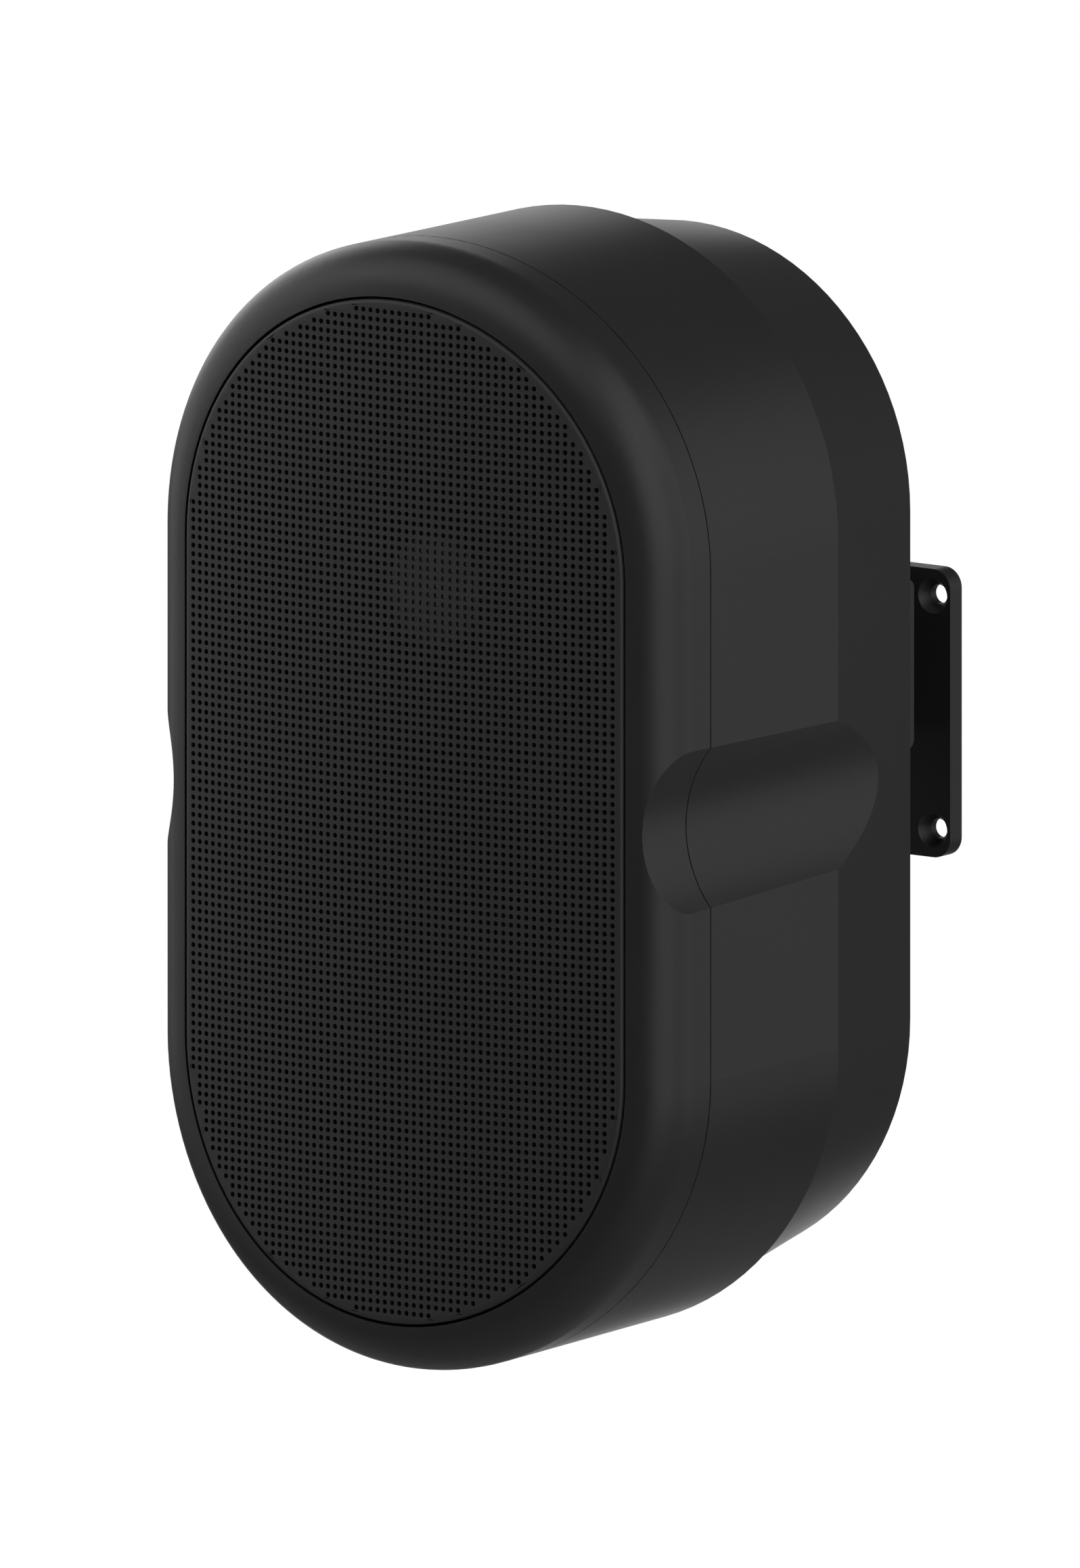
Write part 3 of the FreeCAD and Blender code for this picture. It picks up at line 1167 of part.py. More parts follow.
def build():
    """All the pieces by name."""
    body = outer_body()
    hollow = cavity()
    port_left, port_right = port_tubes()
    black_x, red_x = lever_centres()
    return {
        "front_baffle": front_baffle(body, hollow),
        "rear_cabinet": rear_cabinet(body, hollow),
        "cabinet_gasket": cabinet_gasket(hollow),
        "cabinet_screws": cabinet_screws(),
        "grille": grille(),
        "port_tube_left": port_left,
        "port_tube_right": port_right,
        "woofer_gasket": woofer_gasket(),
        "woofer_frame": woofer_frame(),
        "woofer_surround": woofer_surround(),
        "woofer_cone": woofer_cone(),
        "woofer_dust_cap": woofer_dust_cap(),
        "woofer_former": woofer_former(),
        "woofer_coil": woofer_coil(),
        "woofer_spider": woofer_spider(),
        "woofer_top_plate": woofer_top_plate(),
        "woofer_magnet": woofer_magnet(),
        "woofer_pole_yoke": woofer_pole_yoke(),
        "woofer_screws": woofer_screws(),
        "woofer_tag_strip": woofer_tag_strip(),
        "woofer_tags": woofer_tags(),
        "tweeter_faceplate": tweeter_faceplate(),
        "tweeter_surround": tweeter_surround(),
        "tweeter_dome": tweeter_dome(),
        "tweeter_coil": tweeter_coil(),
        "tweeter_top_plate": tweeter_top_plate(),
        "tweeter_magnet": tweeter_magnet(),
        "tweeter_pole_yoke": tweeter_pole_yoke(),
        "tweeter_screws": tweeter_screws(),
        "tweeter_tags": tweeter_tags(),
        "crossover_board": crossover_board(),
        "crossover_inductor": crossover_inductor(),
        "crossover_capacitors": crossover_capacitors(),
        "crossover_resistor": crossover_resistor(),
        "crossover_screws": crossover_screws(),
        "leads_black": hookup_leads(-1),
        "leads_red": hookup_leads(1),
        "terminal_cup": terminal_cup(),
        "terminal_contacts": terminal_contacts(),
        "terminal_lever_black": terminal_lever(black_x),
        "terminal_lever_red": terminal_lever(red_x),
        "terminal_screws": terminal_screws(),
        "mount_yoke": mount_yoke(),
        "yoke_screws": yoke_screws(),
        "tilt_washers": tilt_washers(),
        "tilt_screws": tilt_screws(),
        "pivot_block": pivot_block(),
        "pan_washers": pan_washers(),
        "pan_pin": pan_pin(),
        "pan_clip": pan_clip(),
        "wall_plate": wall_plate(),
    }


os.makedirs("parts", exist_ok=True)
for node, shape in build().items():
    shape.exportStep("parts/" + node + ".step")
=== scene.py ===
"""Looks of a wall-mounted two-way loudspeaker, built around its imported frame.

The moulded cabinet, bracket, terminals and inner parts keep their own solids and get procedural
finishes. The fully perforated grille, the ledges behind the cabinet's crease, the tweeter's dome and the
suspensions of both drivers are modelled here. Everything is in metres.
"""

import logging
import math
from abc import ABC, abstractmethod
from collections.abc import Callable
from dataclasses import dataclass
from enum import Enum

import bmesh
import bpy
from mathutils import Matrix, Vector
from mathutils.geometry import delaunay_2d_cdt

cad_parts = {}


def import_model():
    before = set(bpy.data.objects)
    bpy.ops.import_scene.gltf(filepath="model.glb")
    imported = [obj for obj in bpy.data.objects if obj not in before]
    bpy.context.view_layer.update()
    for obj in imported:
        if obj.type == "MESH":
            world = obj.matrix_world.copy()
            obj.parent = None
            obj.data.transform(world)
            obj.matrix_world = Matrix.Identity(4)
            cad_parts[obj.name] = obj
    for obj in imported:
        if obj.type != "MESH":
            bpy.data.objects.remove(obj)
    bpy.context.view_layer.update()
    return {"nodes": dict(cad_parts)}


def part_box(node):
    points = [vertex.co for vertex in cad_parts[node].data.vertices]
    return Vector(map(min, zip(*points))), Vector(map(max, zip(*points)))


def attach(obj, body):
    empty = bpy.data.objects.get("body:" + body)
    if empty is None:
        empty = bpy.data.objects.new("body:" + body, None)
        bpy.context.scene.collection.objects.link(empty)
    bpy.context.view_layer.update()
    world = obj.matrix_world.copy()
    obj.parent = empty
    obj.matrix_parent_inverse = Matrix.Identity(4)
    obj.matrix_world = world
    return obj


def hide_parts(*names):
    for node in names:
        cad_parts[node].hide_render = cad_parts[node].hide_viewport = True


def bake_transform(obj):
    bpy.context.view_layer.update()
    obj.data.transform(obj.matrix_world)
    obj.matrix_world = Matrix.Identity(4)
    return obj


LOG = logging.getLogger("loudspeaker")
MM = 0.001
WELD = 0.0005 * MM
FILL_NEARNESS = 0.001 * MM
TURNED_CREASE = math.radians(40)

Colour = tuple[float, float, float]
Point = tuple[float, float, float]
Face = tuple[int, ...]
Profile = list[tuple[float, float]]
Socket = bpy.types.NodeSocket


class Body(Enum):
    """Rigid bodies that the modelled pieces ride on."""

    SPEAKER = "speaker"
    WOOFER = "woofer_cone"
    TWEETER = "tweeter_dome"


class Texture(Enum):
    """Fine relief of a finish, each made by one node group."""

    GRAIN = "Moulded grain"
    BRUSHED = "Brushed lines"
    WEAVE = "Woven cloth"
    WINDING = "Wound wire"


class Graph:
    """Short way to fill one shader tree."""

    MIX_FACTOR = 0
    MIX_FIRST = 6
    MIX_SECOND = 7
    MIX_RESULT = 2

    def __init__(self, tree: bpy.types.NodeTree) -> None:
        """Starts on an existing tree."""
        self.tree = tree

    @classmethod
    def inside(cls, holder: bpy.types.Material | bpy.types.World) -> "Graph":
        """Returns the emptied shader tree of a material or a world."""
        holder.use_nodes = True
        holder.node_tree.nodes.clear()
        return cls(holder.node_tree)

    def add(self, kind: str, inputs: dict | None = None, **settings: object) -> bpy.types.Node:
        """Adds a node, sets its options and fills its inputs.

        Args:
            kind: Blender's name for the kind of node.
            inputs: A socket to link, or a plain value, for each input's name or number.
            settings: Options of the node itself.

        Returns:
            The new node.
        """
        node = self.tree.nodes.new(kind)
        for name, value in settings.items():
            setattr(node, name, value)
        for key, value in (inputs or {}).items():
            if isinstance(value, Socket):
                self.tree.links.new(value, node.inputs[key])
            else:
                node.inputs[key].default_value = value
        return node

    def math(self, operation: str, *values: float | Socket) -> Socket:
        """Returns the result of a Math node on the given values."""
        return self.add("ShaderNodeMath", dict(enumerate(values)), operation=operation).outputs[0]

    def vector(self, operation: str, inputs: dict) -> bpy.types.Node:
        """Returns a Vector Math node on the given inputs."""
        return self.add("ShaderNodeVectorMath", inputs, operation=operation)

    def ramp(self, value: Socket, low: float, high: float) -> Socket:
        """Returns a smooth step from 0 at one value to 1 at another."""
        inputs = {"Value": value, "From Min": low, "From Max": high}
        return self.add("ShaderNodeMapRange", inputs, interpolation_type="SMOOTHSTEP").outputs["Result"]

    def blend(self, factor: Socket, first: Socket | tuple, second: Socket | tuple) -> Socket:
        """Returns a mix of two colours."""
        inputs = {self.MIX_FACTOR: factor, self.MIX_FIRST: first, self.MIX_SECOND: second}
        return self.add("ShaderNodeMix", inputs, data_type="RGBA").outputs[self.MIX_RESULT]

    def noise(self, vector: Socket, scale: float, detail: float) -> Socket:
        """Returns a noise value over the given coordinates."""
        inputs = {"Vector": vector, "Scale": scale, "Detail": detail}
        return self.add("ShaderNodeTexNoise", inputs).outputs[0]


class EffectGroups:
    """Shader node groups that the finishes share, each built once."""

    DRIFT_SCALE = 14.0
    DRIFT_DETAIL = 3.0
    GRAIN_DETAIL = 2.0
    BRUSH_DETAIL = 3.0
    BRUSH_STRETCH = (1.0, 1.0, 0.03)
    BEVEL_SAMPLES = 4
    EDGE_BEND = (0.01, 0.2)
    BREAK_UP_SCALE = 260.0
    BREAK_UP_DETAIL = 4.0
    BREAK_UP_RANGE = (0.35, 0.65)
    DUST_SLOPE = (0.55, 1.0)
    DUST_SCALE = 90.0
    DUST_DETAIL = 5.0

    def __init__(self) -> None:
        """Builds every group."""
        heights = {
            Texture.GRAIN: self._grain,
            Texture.BRUSHED: self._brushed,
            Texture.WEAVE: self._weave,
            Texture.WINDING: self._winding,
        }
        self.reliefs = {texture: self._relief(texture, draw) for texture, draw in heights.items()}
        self.wear = self._wear()
        self.dust = self._dust()

    @staticmethod
    def _start(
        name: str, inputs: tuple[str, ...], outputs: tuple[str, ...]
    ) -> tuple[Graph, bpy.types.Node]:
        """Opens a new group.

        Args:
            name: The group's name.
            inputs: Names of its number inputs.
            outputs: Names of its number outputs.

        Returns:
            The group's graph and its input node.
        """
        tree = bpy.data.node_groups.new(name, "ShaderNodeTree")
        for label in inputs:
            tree.interface.new_socket(label, in_out="INPUT", socket_type="NodeSocketFloat")
        for label in outputs:
            tree.interface.new_socket(label, in_out="OUTPUT", socket_type="NodeSocketFloat")
        graph = Graph(tree)
        return graph, graph.add("NodeGroupInput")

    def _relief(self, texture: Texture, draw: Callable[[Graph, Socket], Socket]) -> bpy.types.NodeTree:
        """Builds a relief group: a height at a pitch, and a slow drift for colour and gloss.

        Args:
            texture: Which relief it is.
            draw: Method that returns the height from the graph and the coordinates counted in pitches.

        Returns:
            The finished group.
        """
        graph, entry = self._start(texture.value, ("Pitch",), ("Height", "Drift"))
        place = graph.add("ShaderNodeTexCoord").outputs["Object"]
        inverse = graph.math("DIVIDE", 1.0, entry.outputs["Pitch"])
        counted = graph.vector("SCALE", {0: place, "Scale": inverse}).outputs[0]
        drift = graph.noise(place, self.DRIFT_SCALE, self.DRIFT_DETAIL)
        graph.add("NodeGroupOutput", {"Height": draw(graph, counted), "Drift": drift})
        return graph.tree

    def _grain(self, graph: Graph, counted: Socket) -> Socket:
        """Returns the height of a fine eroded mould texture."""
        return graph.noise(counted, 1.0, self.GRAIN_DETAIL)

    def _brushed(self, graph: Graph, counted: Socket) -> Socket:
        """Returns the height of long fine scratches."""
        drawn = graph.vector("MULTIPLY", {0: counted, 1: self.BRUSH_STRETCH}).outputs[0]
        return graph.noise(drawn, 1.0, self.BRUSH_DETAIL)

    @staticmethod
    def _weave(graph: Graph, counted: Socket) -> Socket:
        """Returns the height of crossing threads, seen from the front."""
        parts = graph.add("ShaderNodeSeparateXYZ", {0: counted})
        across = graph.math("SINE", graph.math("MULTIPLY", parts.outputs["X"], math.tau))
        upward = graph.math("SINE", graph.math("MULTIPLY", parts.outputs["Z"], math.tau))
        return graph.math("MULTIPLY_ADD", graph.math("MULTIPLY", across, upward), 0.5, 0.5)

    @staticmethod
    def _winding(graph: Graph, counted: Socket) -> Socket:
        """Returns the height of turns of wire laid side by side along the depth direction."""
        depth = graph.add("ShaderNodeSeparateXYZ", {0: counted}).outputs["Y"]
        return graph.math("ABSOLUTE", graph.math("SINE", graph.math("MULTIPLY", depth, math.pi)))

    def _wear(self) -> bpy.types.NodeTree:
        """Builds the edge wear group: a broken mask along the edges."""
        graph, entry = self._start("Edge wear", ("Width", "Amount"), ("Mask",))
        width = {"Radius": entry.outputs["Width"]}
        rounded = graph.add("ShaderNodeBevel", width, samples=self.BEVEL_SAMPLES).outputs[0]
        flat = graph.add("ShaderNodeNewGeometry").outputs["Normal"]
        match = graph.vector("DOT_PRODUCT", {0: rounded, 1: flat}).outputs["Value"]
        edge = graph.ramp(graph.math("SUBTRACT", 1.0, match), *self.EDGE_BEND)
        place = graph.add("ShaderNodeTexCoord").outputs["Object"]
        patches = graph.noise(place, self.BREAK_UP_SCALE, self.BREAK_UP_DETAIL)
        broken = graph.ramp(patches, *self.BREAK_UP_RANGE)
        worn = graph.math("MULTIPLY", graph.math("MULTIPLY", edge, broken), entry.outputs["Amount"])
        graph.add("NodeGroupOutput", {"Mask": worn})
        return graph.tree

    def _dust(self) -> bpy.types.NodeTree:
        """Builds the dust group: a cloudy mask on faces that look up."""
        graph, entry = self._start("Settled dust", ("Amount",), ("Mask",))
        normal = graph.add("ShaderNodeNewGeometry").outputs["Normal"]
        slope = graph.add("ShaderNodeSeparateXYZ", {0: normal}).outputs["Z"]
        upward = graph.ramp(slope, *self.DUST_SLOPE)
        place = graph.add("ShaderNodeTexCoord").outputs["Object"]
        cloud = graph.noise(place, self.DUST_SCALE, self.DUST_DETAIL)
        settled = graph.math("MULTIPLY", graph.math("MULTIPLY", upward, cloud), entry.outputs["Amount"])
        graph.add("NodeGroupOutput", {"Mask": settled})
        return graph.tree


def grey(level: float) -> Colour:
    """Returns a neutral colour of one level."""
    return level, level, level


def opaque(colour: Colour) -> tuple[float, float, float, float]:
    """Returns a colour with full alpha, as shader sockets take it."""
    return *colour, 1.0


WHITE = grey(1.0)
DUST_COLOUR: Colour = (0.16, 0.155, 0.15)
BARE_STEEL: Colour = (0.30, 0.30, 0.31)


@dataclass(frozen=True)
class Finish:
    """Procedural finish of one material slot.

    Colours are linear. The relief's pitch and depth are in metres, and the spreads say how far colour and
    roughness drift over the surface.
    """

    slot: str
    colour: Colour
    worn: Colour
    roughness: float
    texture: Texture = Texture.GRAIN
    pitch: float = 0.35 * MM
    relief: float = 0.01 * MM
    metallic: float = 0.0
    specular: float = 0.5
    sheen: float = 0.0
    colour_spread: float = 0.12
    roughness_spread: float = 0.12
    wear: float = 0.4
    wear_width: float = 0.35 * MM
    dust: float = 0.0

    def material(self, effects: EffectGroups) -> bpy.types.Material:
        """Makes the material from the shared effect groups.

        Args:
            effects: The groups to place in it.

        Returns:
            The finished material.
        """
        material = bpy.data.materials.new(self.slot + "_finish")
        material.diffuse_color = opaque(self.colour)
        graph = Graph.inside(material)
        relief = self._group(graph, effects.reliefs[self.texture], Pitch=self.pitch)
        wear = self._group(graph, effects.wear, Width=self.wear_width, Amount=self.wear)
        dust = self._group(graph, effects.dust, Amount=self.dust)
        darker = tuple(channel * (1 - self.colour_spread) for channel in self.colour)
        lighter = tuple(channel * (1 + self.colour_spread) for channel in self.colour)
        base = graph.blend(relief.outputs["Drift"], opaque(darker), opaque(lighter))
        base = graph.blend(wear.outputs["Mask"], base, opaque(self.worn))
        base = graph.blend(dust.outputs["Mask"], base, opaque(DUST_COLOUR))
        low = self.roughness - self.roughness_spread / 2
        gloss = graph.math("MULTIPLY_ADD", relief.outputs["Drift"], self.roughness_spread, low)
        bump = graph.add("ShaderNodeBump", {"Height": relief.outputs["Height"], "Distance": self.relief})
        inputs = {
            "Base Color": base,
            "Roughness": gloss,
            "Normal": bump.outputs["Normal"],
            "Metallic": self.metallic,
            "Specular IOR Level": self.specular,
            "Sheen Weight": self.sheen,
        }
        shader = graph.add("ShaderNodeBsdfPrincipled", inputs)
        graph.add("ShaderNodeOutputMaterial", {"Surface": shader.outputs["BSDF"]})
        return material

    @staticmethod
    def _group(graph: Graph, tree: bpy.types.NodeTree, **values: float) -> bpy.types.Node:
        """Places a group in a material and sets its inputs."""
        node = graph.add("ShaderNodeGroup", node_tree=tree)
        for label, value in values.items():
            node.inputs[label].default_value = value
        return node


FINISHES = (
    Finish("cabinet_plastic", colour=(0.0125, 0.0125, 0.013), worn=grey(0.045), roughness=0.42,
           specular=0.312, dust=0.02),
    Finish("grille_paint", colour=(0.018, 0.018, 0.0185), worn=grey(0.06), roughness=0.5,
           pitch=0.25 * MM, specular=0.3, wear=0.2),
    Finish("bracket_paint", colour=(0.006, 0.006, 0.0063), worn=grey(0.06), roughness=0.5,
           pitch=0.8 * MM, relief=0.02 * MM, specular=0.42, dust=0.02),
    Finish("port_plastic", colour=(0.010, 0.010, 0.0105), worn=grey(0.03), roughness=0.6, specular=0.3),
    Finish("terminal_plastic", colour=(0.014, 0.014, 0.0145), worn=grey(0.05), roughness=0.42),
    Finish("lever_red", colour=(0.42, 0.012, 0.014), worn=(0.55, 0.06, 0.05), roughness=0.38,
           colour_spread=0.06),
    Finish("lever_black", colour=(0.012, 0.012, 0.0125), worn=grey(0.05), roughness=0.38),
    Finish("seal_foam", colour=(0.018, 0.018, 0.019), worn=grey(0.03), roughness=0.95,
           pitch=0.6 * MM, relief=0.15 * MM, wear=0.0),
    Finish("surround_rubber", colour=(0.010, 0.010, 0.0105), worn=grey(0.02), roughness=0.62,
           pitch=0.2 * MM, wear=0.0),
    Finish("cone_sheet", colour=(0.022, 0.022, 0.023), worn=grey(0.04), roughness=0.66,
           pitch=0.9 * MM, relief=0.06 * MM, wear=0.0),
    Finish("dome_cloth", colour=(0.86, 0.88, 0.88), worn=grey(0.9), roughness=0.5,
           texture=Texture.WEAVE, pitch=0.45 * MM, relief=0.02 * MM, colour_spread=0.04, wear=0.0),
    Finish("surround_cloth", colour=(0.060, 0.060, 0.062), worn=grey(0.08), roughness=0.75,
           texture=Texture.WEAVE, pitch=0.45 * MM, relief=0.04 * MM, sheen=0.2, wear=0.0),
    Finish("spider_cloth", colour=(0.36, 0.21, 0.07), worn=(0.45, 0.3, 0.12), roughness=0.85,
           texture=Texture.WEAVE, pitch=0.8 * MM, relief=0.1 * MM, sheen=0.2, wear=0.0),
    Finish("cast_frame", colour=(0.030, 0.030, 0.032), worn=grey(0.12), roughness=0.5,
           pitch=0.9 * MM, relief=0.03 * MM),
    Finish("plated_steel", colour=(0.56, 0.55, 0.53), worn=(0.7, 0.69, 0.66), roughness=0.34,
           texture=Texture.BRUSHED, pitch=0.12 * MM, relief=0.004 * MM, metallic=1.0, colour_spread=0.06),
    Finish("black_steel", colour=(0.030, 0.030, 0.032), worn=BARE_STEEL, roughness=0.42,
           texture=Texture.BRUSHED, pitch=0.15 * MM, relief=0.004 * MM, metallic=0.6, wear=0.5,
           wear_width=0.2 * MM),
    Finish("ferrite", colour=(0.060, 0.060, 0.063), worn=grey(0.14), roughness=0.58,
           pitch=0.5 * MM, relief=0.03 * MM),
    Finish("former_foil", colour=(0.74, 0.72, 0.68), worn=(0.8, 0.8, 0.78), roughness=0.3,
           texture=Texture.BRUSHED, pitch=0.1 * MM, relief=0.003 * MM, metallic=1.0),
    Finish("copper_wire", colour=(0.62, 0.24, 0.10), worn=(0.7, 0.32, 0.16), roughness=0.3,
           texture=Texture.WINDING, pitch=0.7 * MM, relief=0.15 * MM, metallic=1.0),
    Finish("board_laminate", colour=(0.055, 0.16, 0.055), worn=(0.3, 0.26, 0.12), roughness=0.42,
           texture=Texture.WEAVE, pitch=0.6 * MM, relief=0.01 * MM),
    Finish("capacitor_film", colour=(0.40, 0.27, 0.04), worn=(0.5, 0.4, 0.2), roughness=0.32,
           pitch=1.5 * MM, relief=0.02 * MM),
    Finish("resistor_ceramic", colour=(0.62, 0.59, 0.52), worn=(0.7, 0.68, 0.62), roughness=0.75,
           pitch=0.7 * MM, relief=0.06 * MM),
    Finish("contact_brass", colour=(0.64, 0.42, 0.15), worn=(0.75, 0.55, 0.28), roughness=0.28,
           texture=Texture.BRUSHED, pitch=0.1 * MM, relief=0.003 * MM, metallic=1.0),
    Finish("washer_nylon", colour=grey(0.030), worn=grey(0.08), roughness=0.48, pitch=0.4 * MM),
    Finish("lead_red", colour=(0.40, 0.018, 0.016), worn=(0.5, 0.06, 0.05), roughness=0.45,
           pitch=0.6 * MM, wear=0.0),
    Finish("lead_black", colour=(0.014, 0.014, 0.0145), worn=grey(0.03), roughness=0.45,
           pitch=0.6 * MM, wear=0.0),
)


class Palette:
    """All finishes of the loudspeaker, made once and handed to its pieces."""

    def __init__(self) -> None:
        """Makes the effect groups and the materials."""
        effects = EffectGroups()
        self.materials = {finish.slot: finish.material(effects) for finish in FINISHES}

    def dress_frame(self, nodes: dict[str, bpy.types.Object]) -> None:
        """Gives every node of the frame the finish of its own material slot."""
        for name, node in nodes.items():
            for holder in node.material_slots:
                slot = holder.material.name
                holder.material = self.materials[slot]
                LOG.info("dressed %s in %s", name, slot)

    def dress(self, piece: bpy.types.Object, slot: str) -> None:
        """Gives a modelled piece a finish and names its slot."""
        piece.data.materials.append(self.materials[slot])
        LOG.info("dressed %s in %s", piece.name, slot)


def new_piece(name: str, points: list[Point], faces: list[Face], crease: float) -> bpy.types.Object:
    """Makes a smooth mesh piece whose sharper edges stay crisp.

    Args:
        name: The piece's name.
        points: Corners in the frame.
        faces: Corner numbers of each face.
        crease: Angle in radians above which an edge stays crisp.

    Returns:
        The new object, linked to the scene.
    """
    mesh = bpy.data.meshes.new(name)
    mesh.from_pydata(points, [], faces)
    work = bmesh.new()
    work.from_mesh(mesh)
    bmesh.ops.remove_doubles(work, verts=work.verts, dist=WELD)
    bmesh.ops.recalc_face_normals(work, faces=work.faces)
    work.to_mesh(mesh)
    work.free()
    mesh.shade_smooth()
    mesh.set_sharp_from_angle(angle=crease)
    piece = bpy.data.objects.new(name, mesh)
    bpy.context.scene.collection.objects.link(piece)
    return piece


@dataclass
class GrilleSheet:
    """Bowed steel sheet with every punched hole, and a rolled rim that stands on the baffle."""

    FRONT_SIDES = 8
    BACK_SIDES = 4

    node: str = "grille"
    slot: str = "grille_paint"
    bow: float = 394.0 * MM
    thickness: float = 1.0 * MM
    edge_round: float = 0.8 * MM
    pitch: float = 2.0 * MM
    hole_radius: float = 0.6 * MM
    break_out: float = 0.1 * MM
    border: float = 1.85 * MM
    margin: float = 0.1 * MM
    arc_steps: int = 48
    straight_steps: int = 8
    round_steps: int = 3
    crease: float = math.radians(50)

    def __post_init__(self) -> None:
        """Reads the outline from the frame's own grille."""
        low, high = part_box(self.node)
        self.radius = (high.x - low.x) / 2
        self.straight = (high.z - low.z) / 2 - self.radius
        self.middle = (high.z + low.z) / 2
        self.crown = low.y
        self.foot = high.y
        self.points: list[Point] = []
        self.faces: list[Face] = []
        self.corners: dict[tuple[int, int, bool], int] = {}

    def build(self, palette: Palette) -> bpy.types.Object:
        """Models the sheet and its rim as one closed piece.

        Args:
            palette: Finishes to dress it from.

        Returns:
            The new piece.
        """
        cells = self.cells()
        for column, row in cells:
            self._cell(column, row)
        loops = self._rim()
        self._border(cells, loops[0], False)
        self._border(cells, loops[-1], True)
        piece = new_piece("grille_sheet", self.points, self.faces, self.crease)
        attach(piece, Body.SPEAKER.value)
        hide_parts(self.node)
        palette.dress(piece, self.slot)
        return piece

    def cells(self) -> set[tuple[int, int]]:
        """Returns the column and row of each hole inside the plain border."""
        field = self.radius - self.border
        columns = math.ceil(self.radius / self.pitch)
        rows = math.ceil((self.radius + self.straight) / self.pitch)
        found = set()
        for column in range(-columns, columns + 1):
            for row in range(-rows, rows):
                past_straight = max(0.0, abs(row + 0.5) * self.pitch - self.straight)
                if math.hypot(column * self.pitch, past_straight) < field:
                    found.add((column, row))
        return found

    def surface(self, x: float, behind: bool) -> float:
        """Returns the depth of the bowed sheet's front or back face at a distance across."""
        offset = self.thickness if behind else 0.0
        bow = self.bow - offset
        return self.crown + offset + bow - math.sqrt(bow * bow - x * x)

    def _point(self, x: float, z: float, behind: bool) -> int:
        """Adds a point of the sheet's front or back face and returns its number."""
        self.points.append((x, self.surface(x, behind), self.middle + z))
        return len(self.points) - 1

    def _corner(self, column: int, row: int, behind: bool) -> int:
        """Returns the number of a corner that neighbouring cells share, at the lower left of a cell."""
        key = (column, row, behind)
        if key not in self.corners:
            place = self._inside((column - 0.5) * self.pitch, row * self.pitch)
            self.corners[key] = self._point(*place, behind)
        return self.corners[key]

    def _inside(self, x: float, z: float) -> tuple[float, float]:
        """Returns a cell's corner, drawn in where it would reach past the folded rim."""
        limit = self.radius - self.thickness - self.margin
        past_straight = max(0.0, abs(z) - self.straight)
        share = min(1.0, limit / max(limit, math.hypot(x, past_straight)))
        return x * share, z - math.copysign(past_straight * (1 - share), z)

    def _cell(self, column: int, row: int) -> None:
        """Adds one hole: an eight-sided rim in front, its wall, and a four-sided rim behind."""
        around = ((1, 1), (0, 1), (0, 0), (1, 0))
        front = [self._corner(column + dx, row + dz, False) for dx, dz in around]
        back = [self._corner(column + dx, row + dz, True) for dx, dz in around]
        rim = self._polygon(column, row, self.FRONT_SIDES, self.hole_radius, False)
        throat = self._polygon(column, row, self.BACK_SIDES, self.hole_radius + self.break_out, True)
        for side in range(self.BACK_SIDES):
            ahead = (side + 1) % self.BACK_SIDES
            first, middle, last = rim[2 * side], rim[2 * side + 1], rim[2 * ahead]
            self.faces += [
                (front[side], front[ahead], middle),
                (front[side], middle, first),
                (front[ahead], last, middle),
                (first, middle, throat[side]),
                (middle, last, throat[ahead]),
                (middle, throat[ahead], throat[side]),
                (back[ahead], back[side], throat[side], throat[ahead]),
            ]

    def _polygon(self, column: int, row: int, sides: int, radius: float, behind: bool) -> list[int]:
        """Adds a hole's outline on one face.

        Args:
            column: Column of the hole.
            row: Row of the hole.
            sides: Number of its sides, which enclose the area of the round hole.
            radius: Radius of the round hole on that face.
            behind: Whether it is on the back face, where the punch leaves it a little wider.

        Returns:
            Numbers of its points, from the upper right corner on.
        """
        step = math.tau / sides
        reach = radius * math.sqrt(step / math.sin(step))
        numbers = []
        for index in range(sides):
            turn = math.pi / 4 + index * step
            x = column * self.pitch + reach * math.cos(turn)
            z = (row + 0.5) * self.pitch + reach * math.sin(turn)
            numbers.append(self._point(x, z, behind))
        return numbers

    def outline(self, inset: float) -> list[tuple[float, float]]:
        """Returns the pill-shaped outline, drawn in by an inset, as across and upward places."""
        radius = self.radius - inset
        places = []
        for side in (1, -1):
            for step in range(self.arc_steps):
                turn = math.pi * step / self.arc_steps
                upward = self.straight + radius * math.sin(turn)
                places.append((side * radius * math.cos(turn), side * upward))
            for step in range(self.straight_steps):
                share = 1 - 2 * step / self.straight_steps
                places.append((-side * radius, side * self.straight * share))
        return places

    def _rim(self) -> list[list[int]]:
        """Adds the rounded edge and the folded rim, and returns its loops of points from front to back."""
        loops = []
        for step in range(self.round_steps + 1):
            turn = math.pi / 2 * step / self.round_steps
            inset = self.edge_round * (1 - math.sin(turn))
            drop = self.edge_round * (1 - math.cos(turn))
            places = self.outline(inset)
            depths = [self.surface(x, False) + drop for x, _ in places]
            loops.append(self._loop(places, depths))
        for inset in (0.0, self.thickness):
            places = self.outline(inset)
            loops.append(self._loop(places, [self.foot] * len(places)))
        places = self.outline(self.thickness)
        loops.append(self._loop(places, [self.surface(x, True) for x, _ in places]))
        for outer, inner in zip(loops, loops[1:]):
            for index in range(len(outer)):
                ahead = (index + 1) % len(outer)
                self.faces.append((outer[index], outer[ahead], inner[ahead], inner[index]))
        return loops

    def _loop(self, places: list[tuple[float, float]], depths: list[float]) -> list[int]:
        """Adds a closed loop of points and returns their numbers."""
        start = len(self.points)
        self.points += [(x, depth, self.middle + z) for (x, z), depth in zip(places, depths)]
        return list(range(start, len(self.points)))

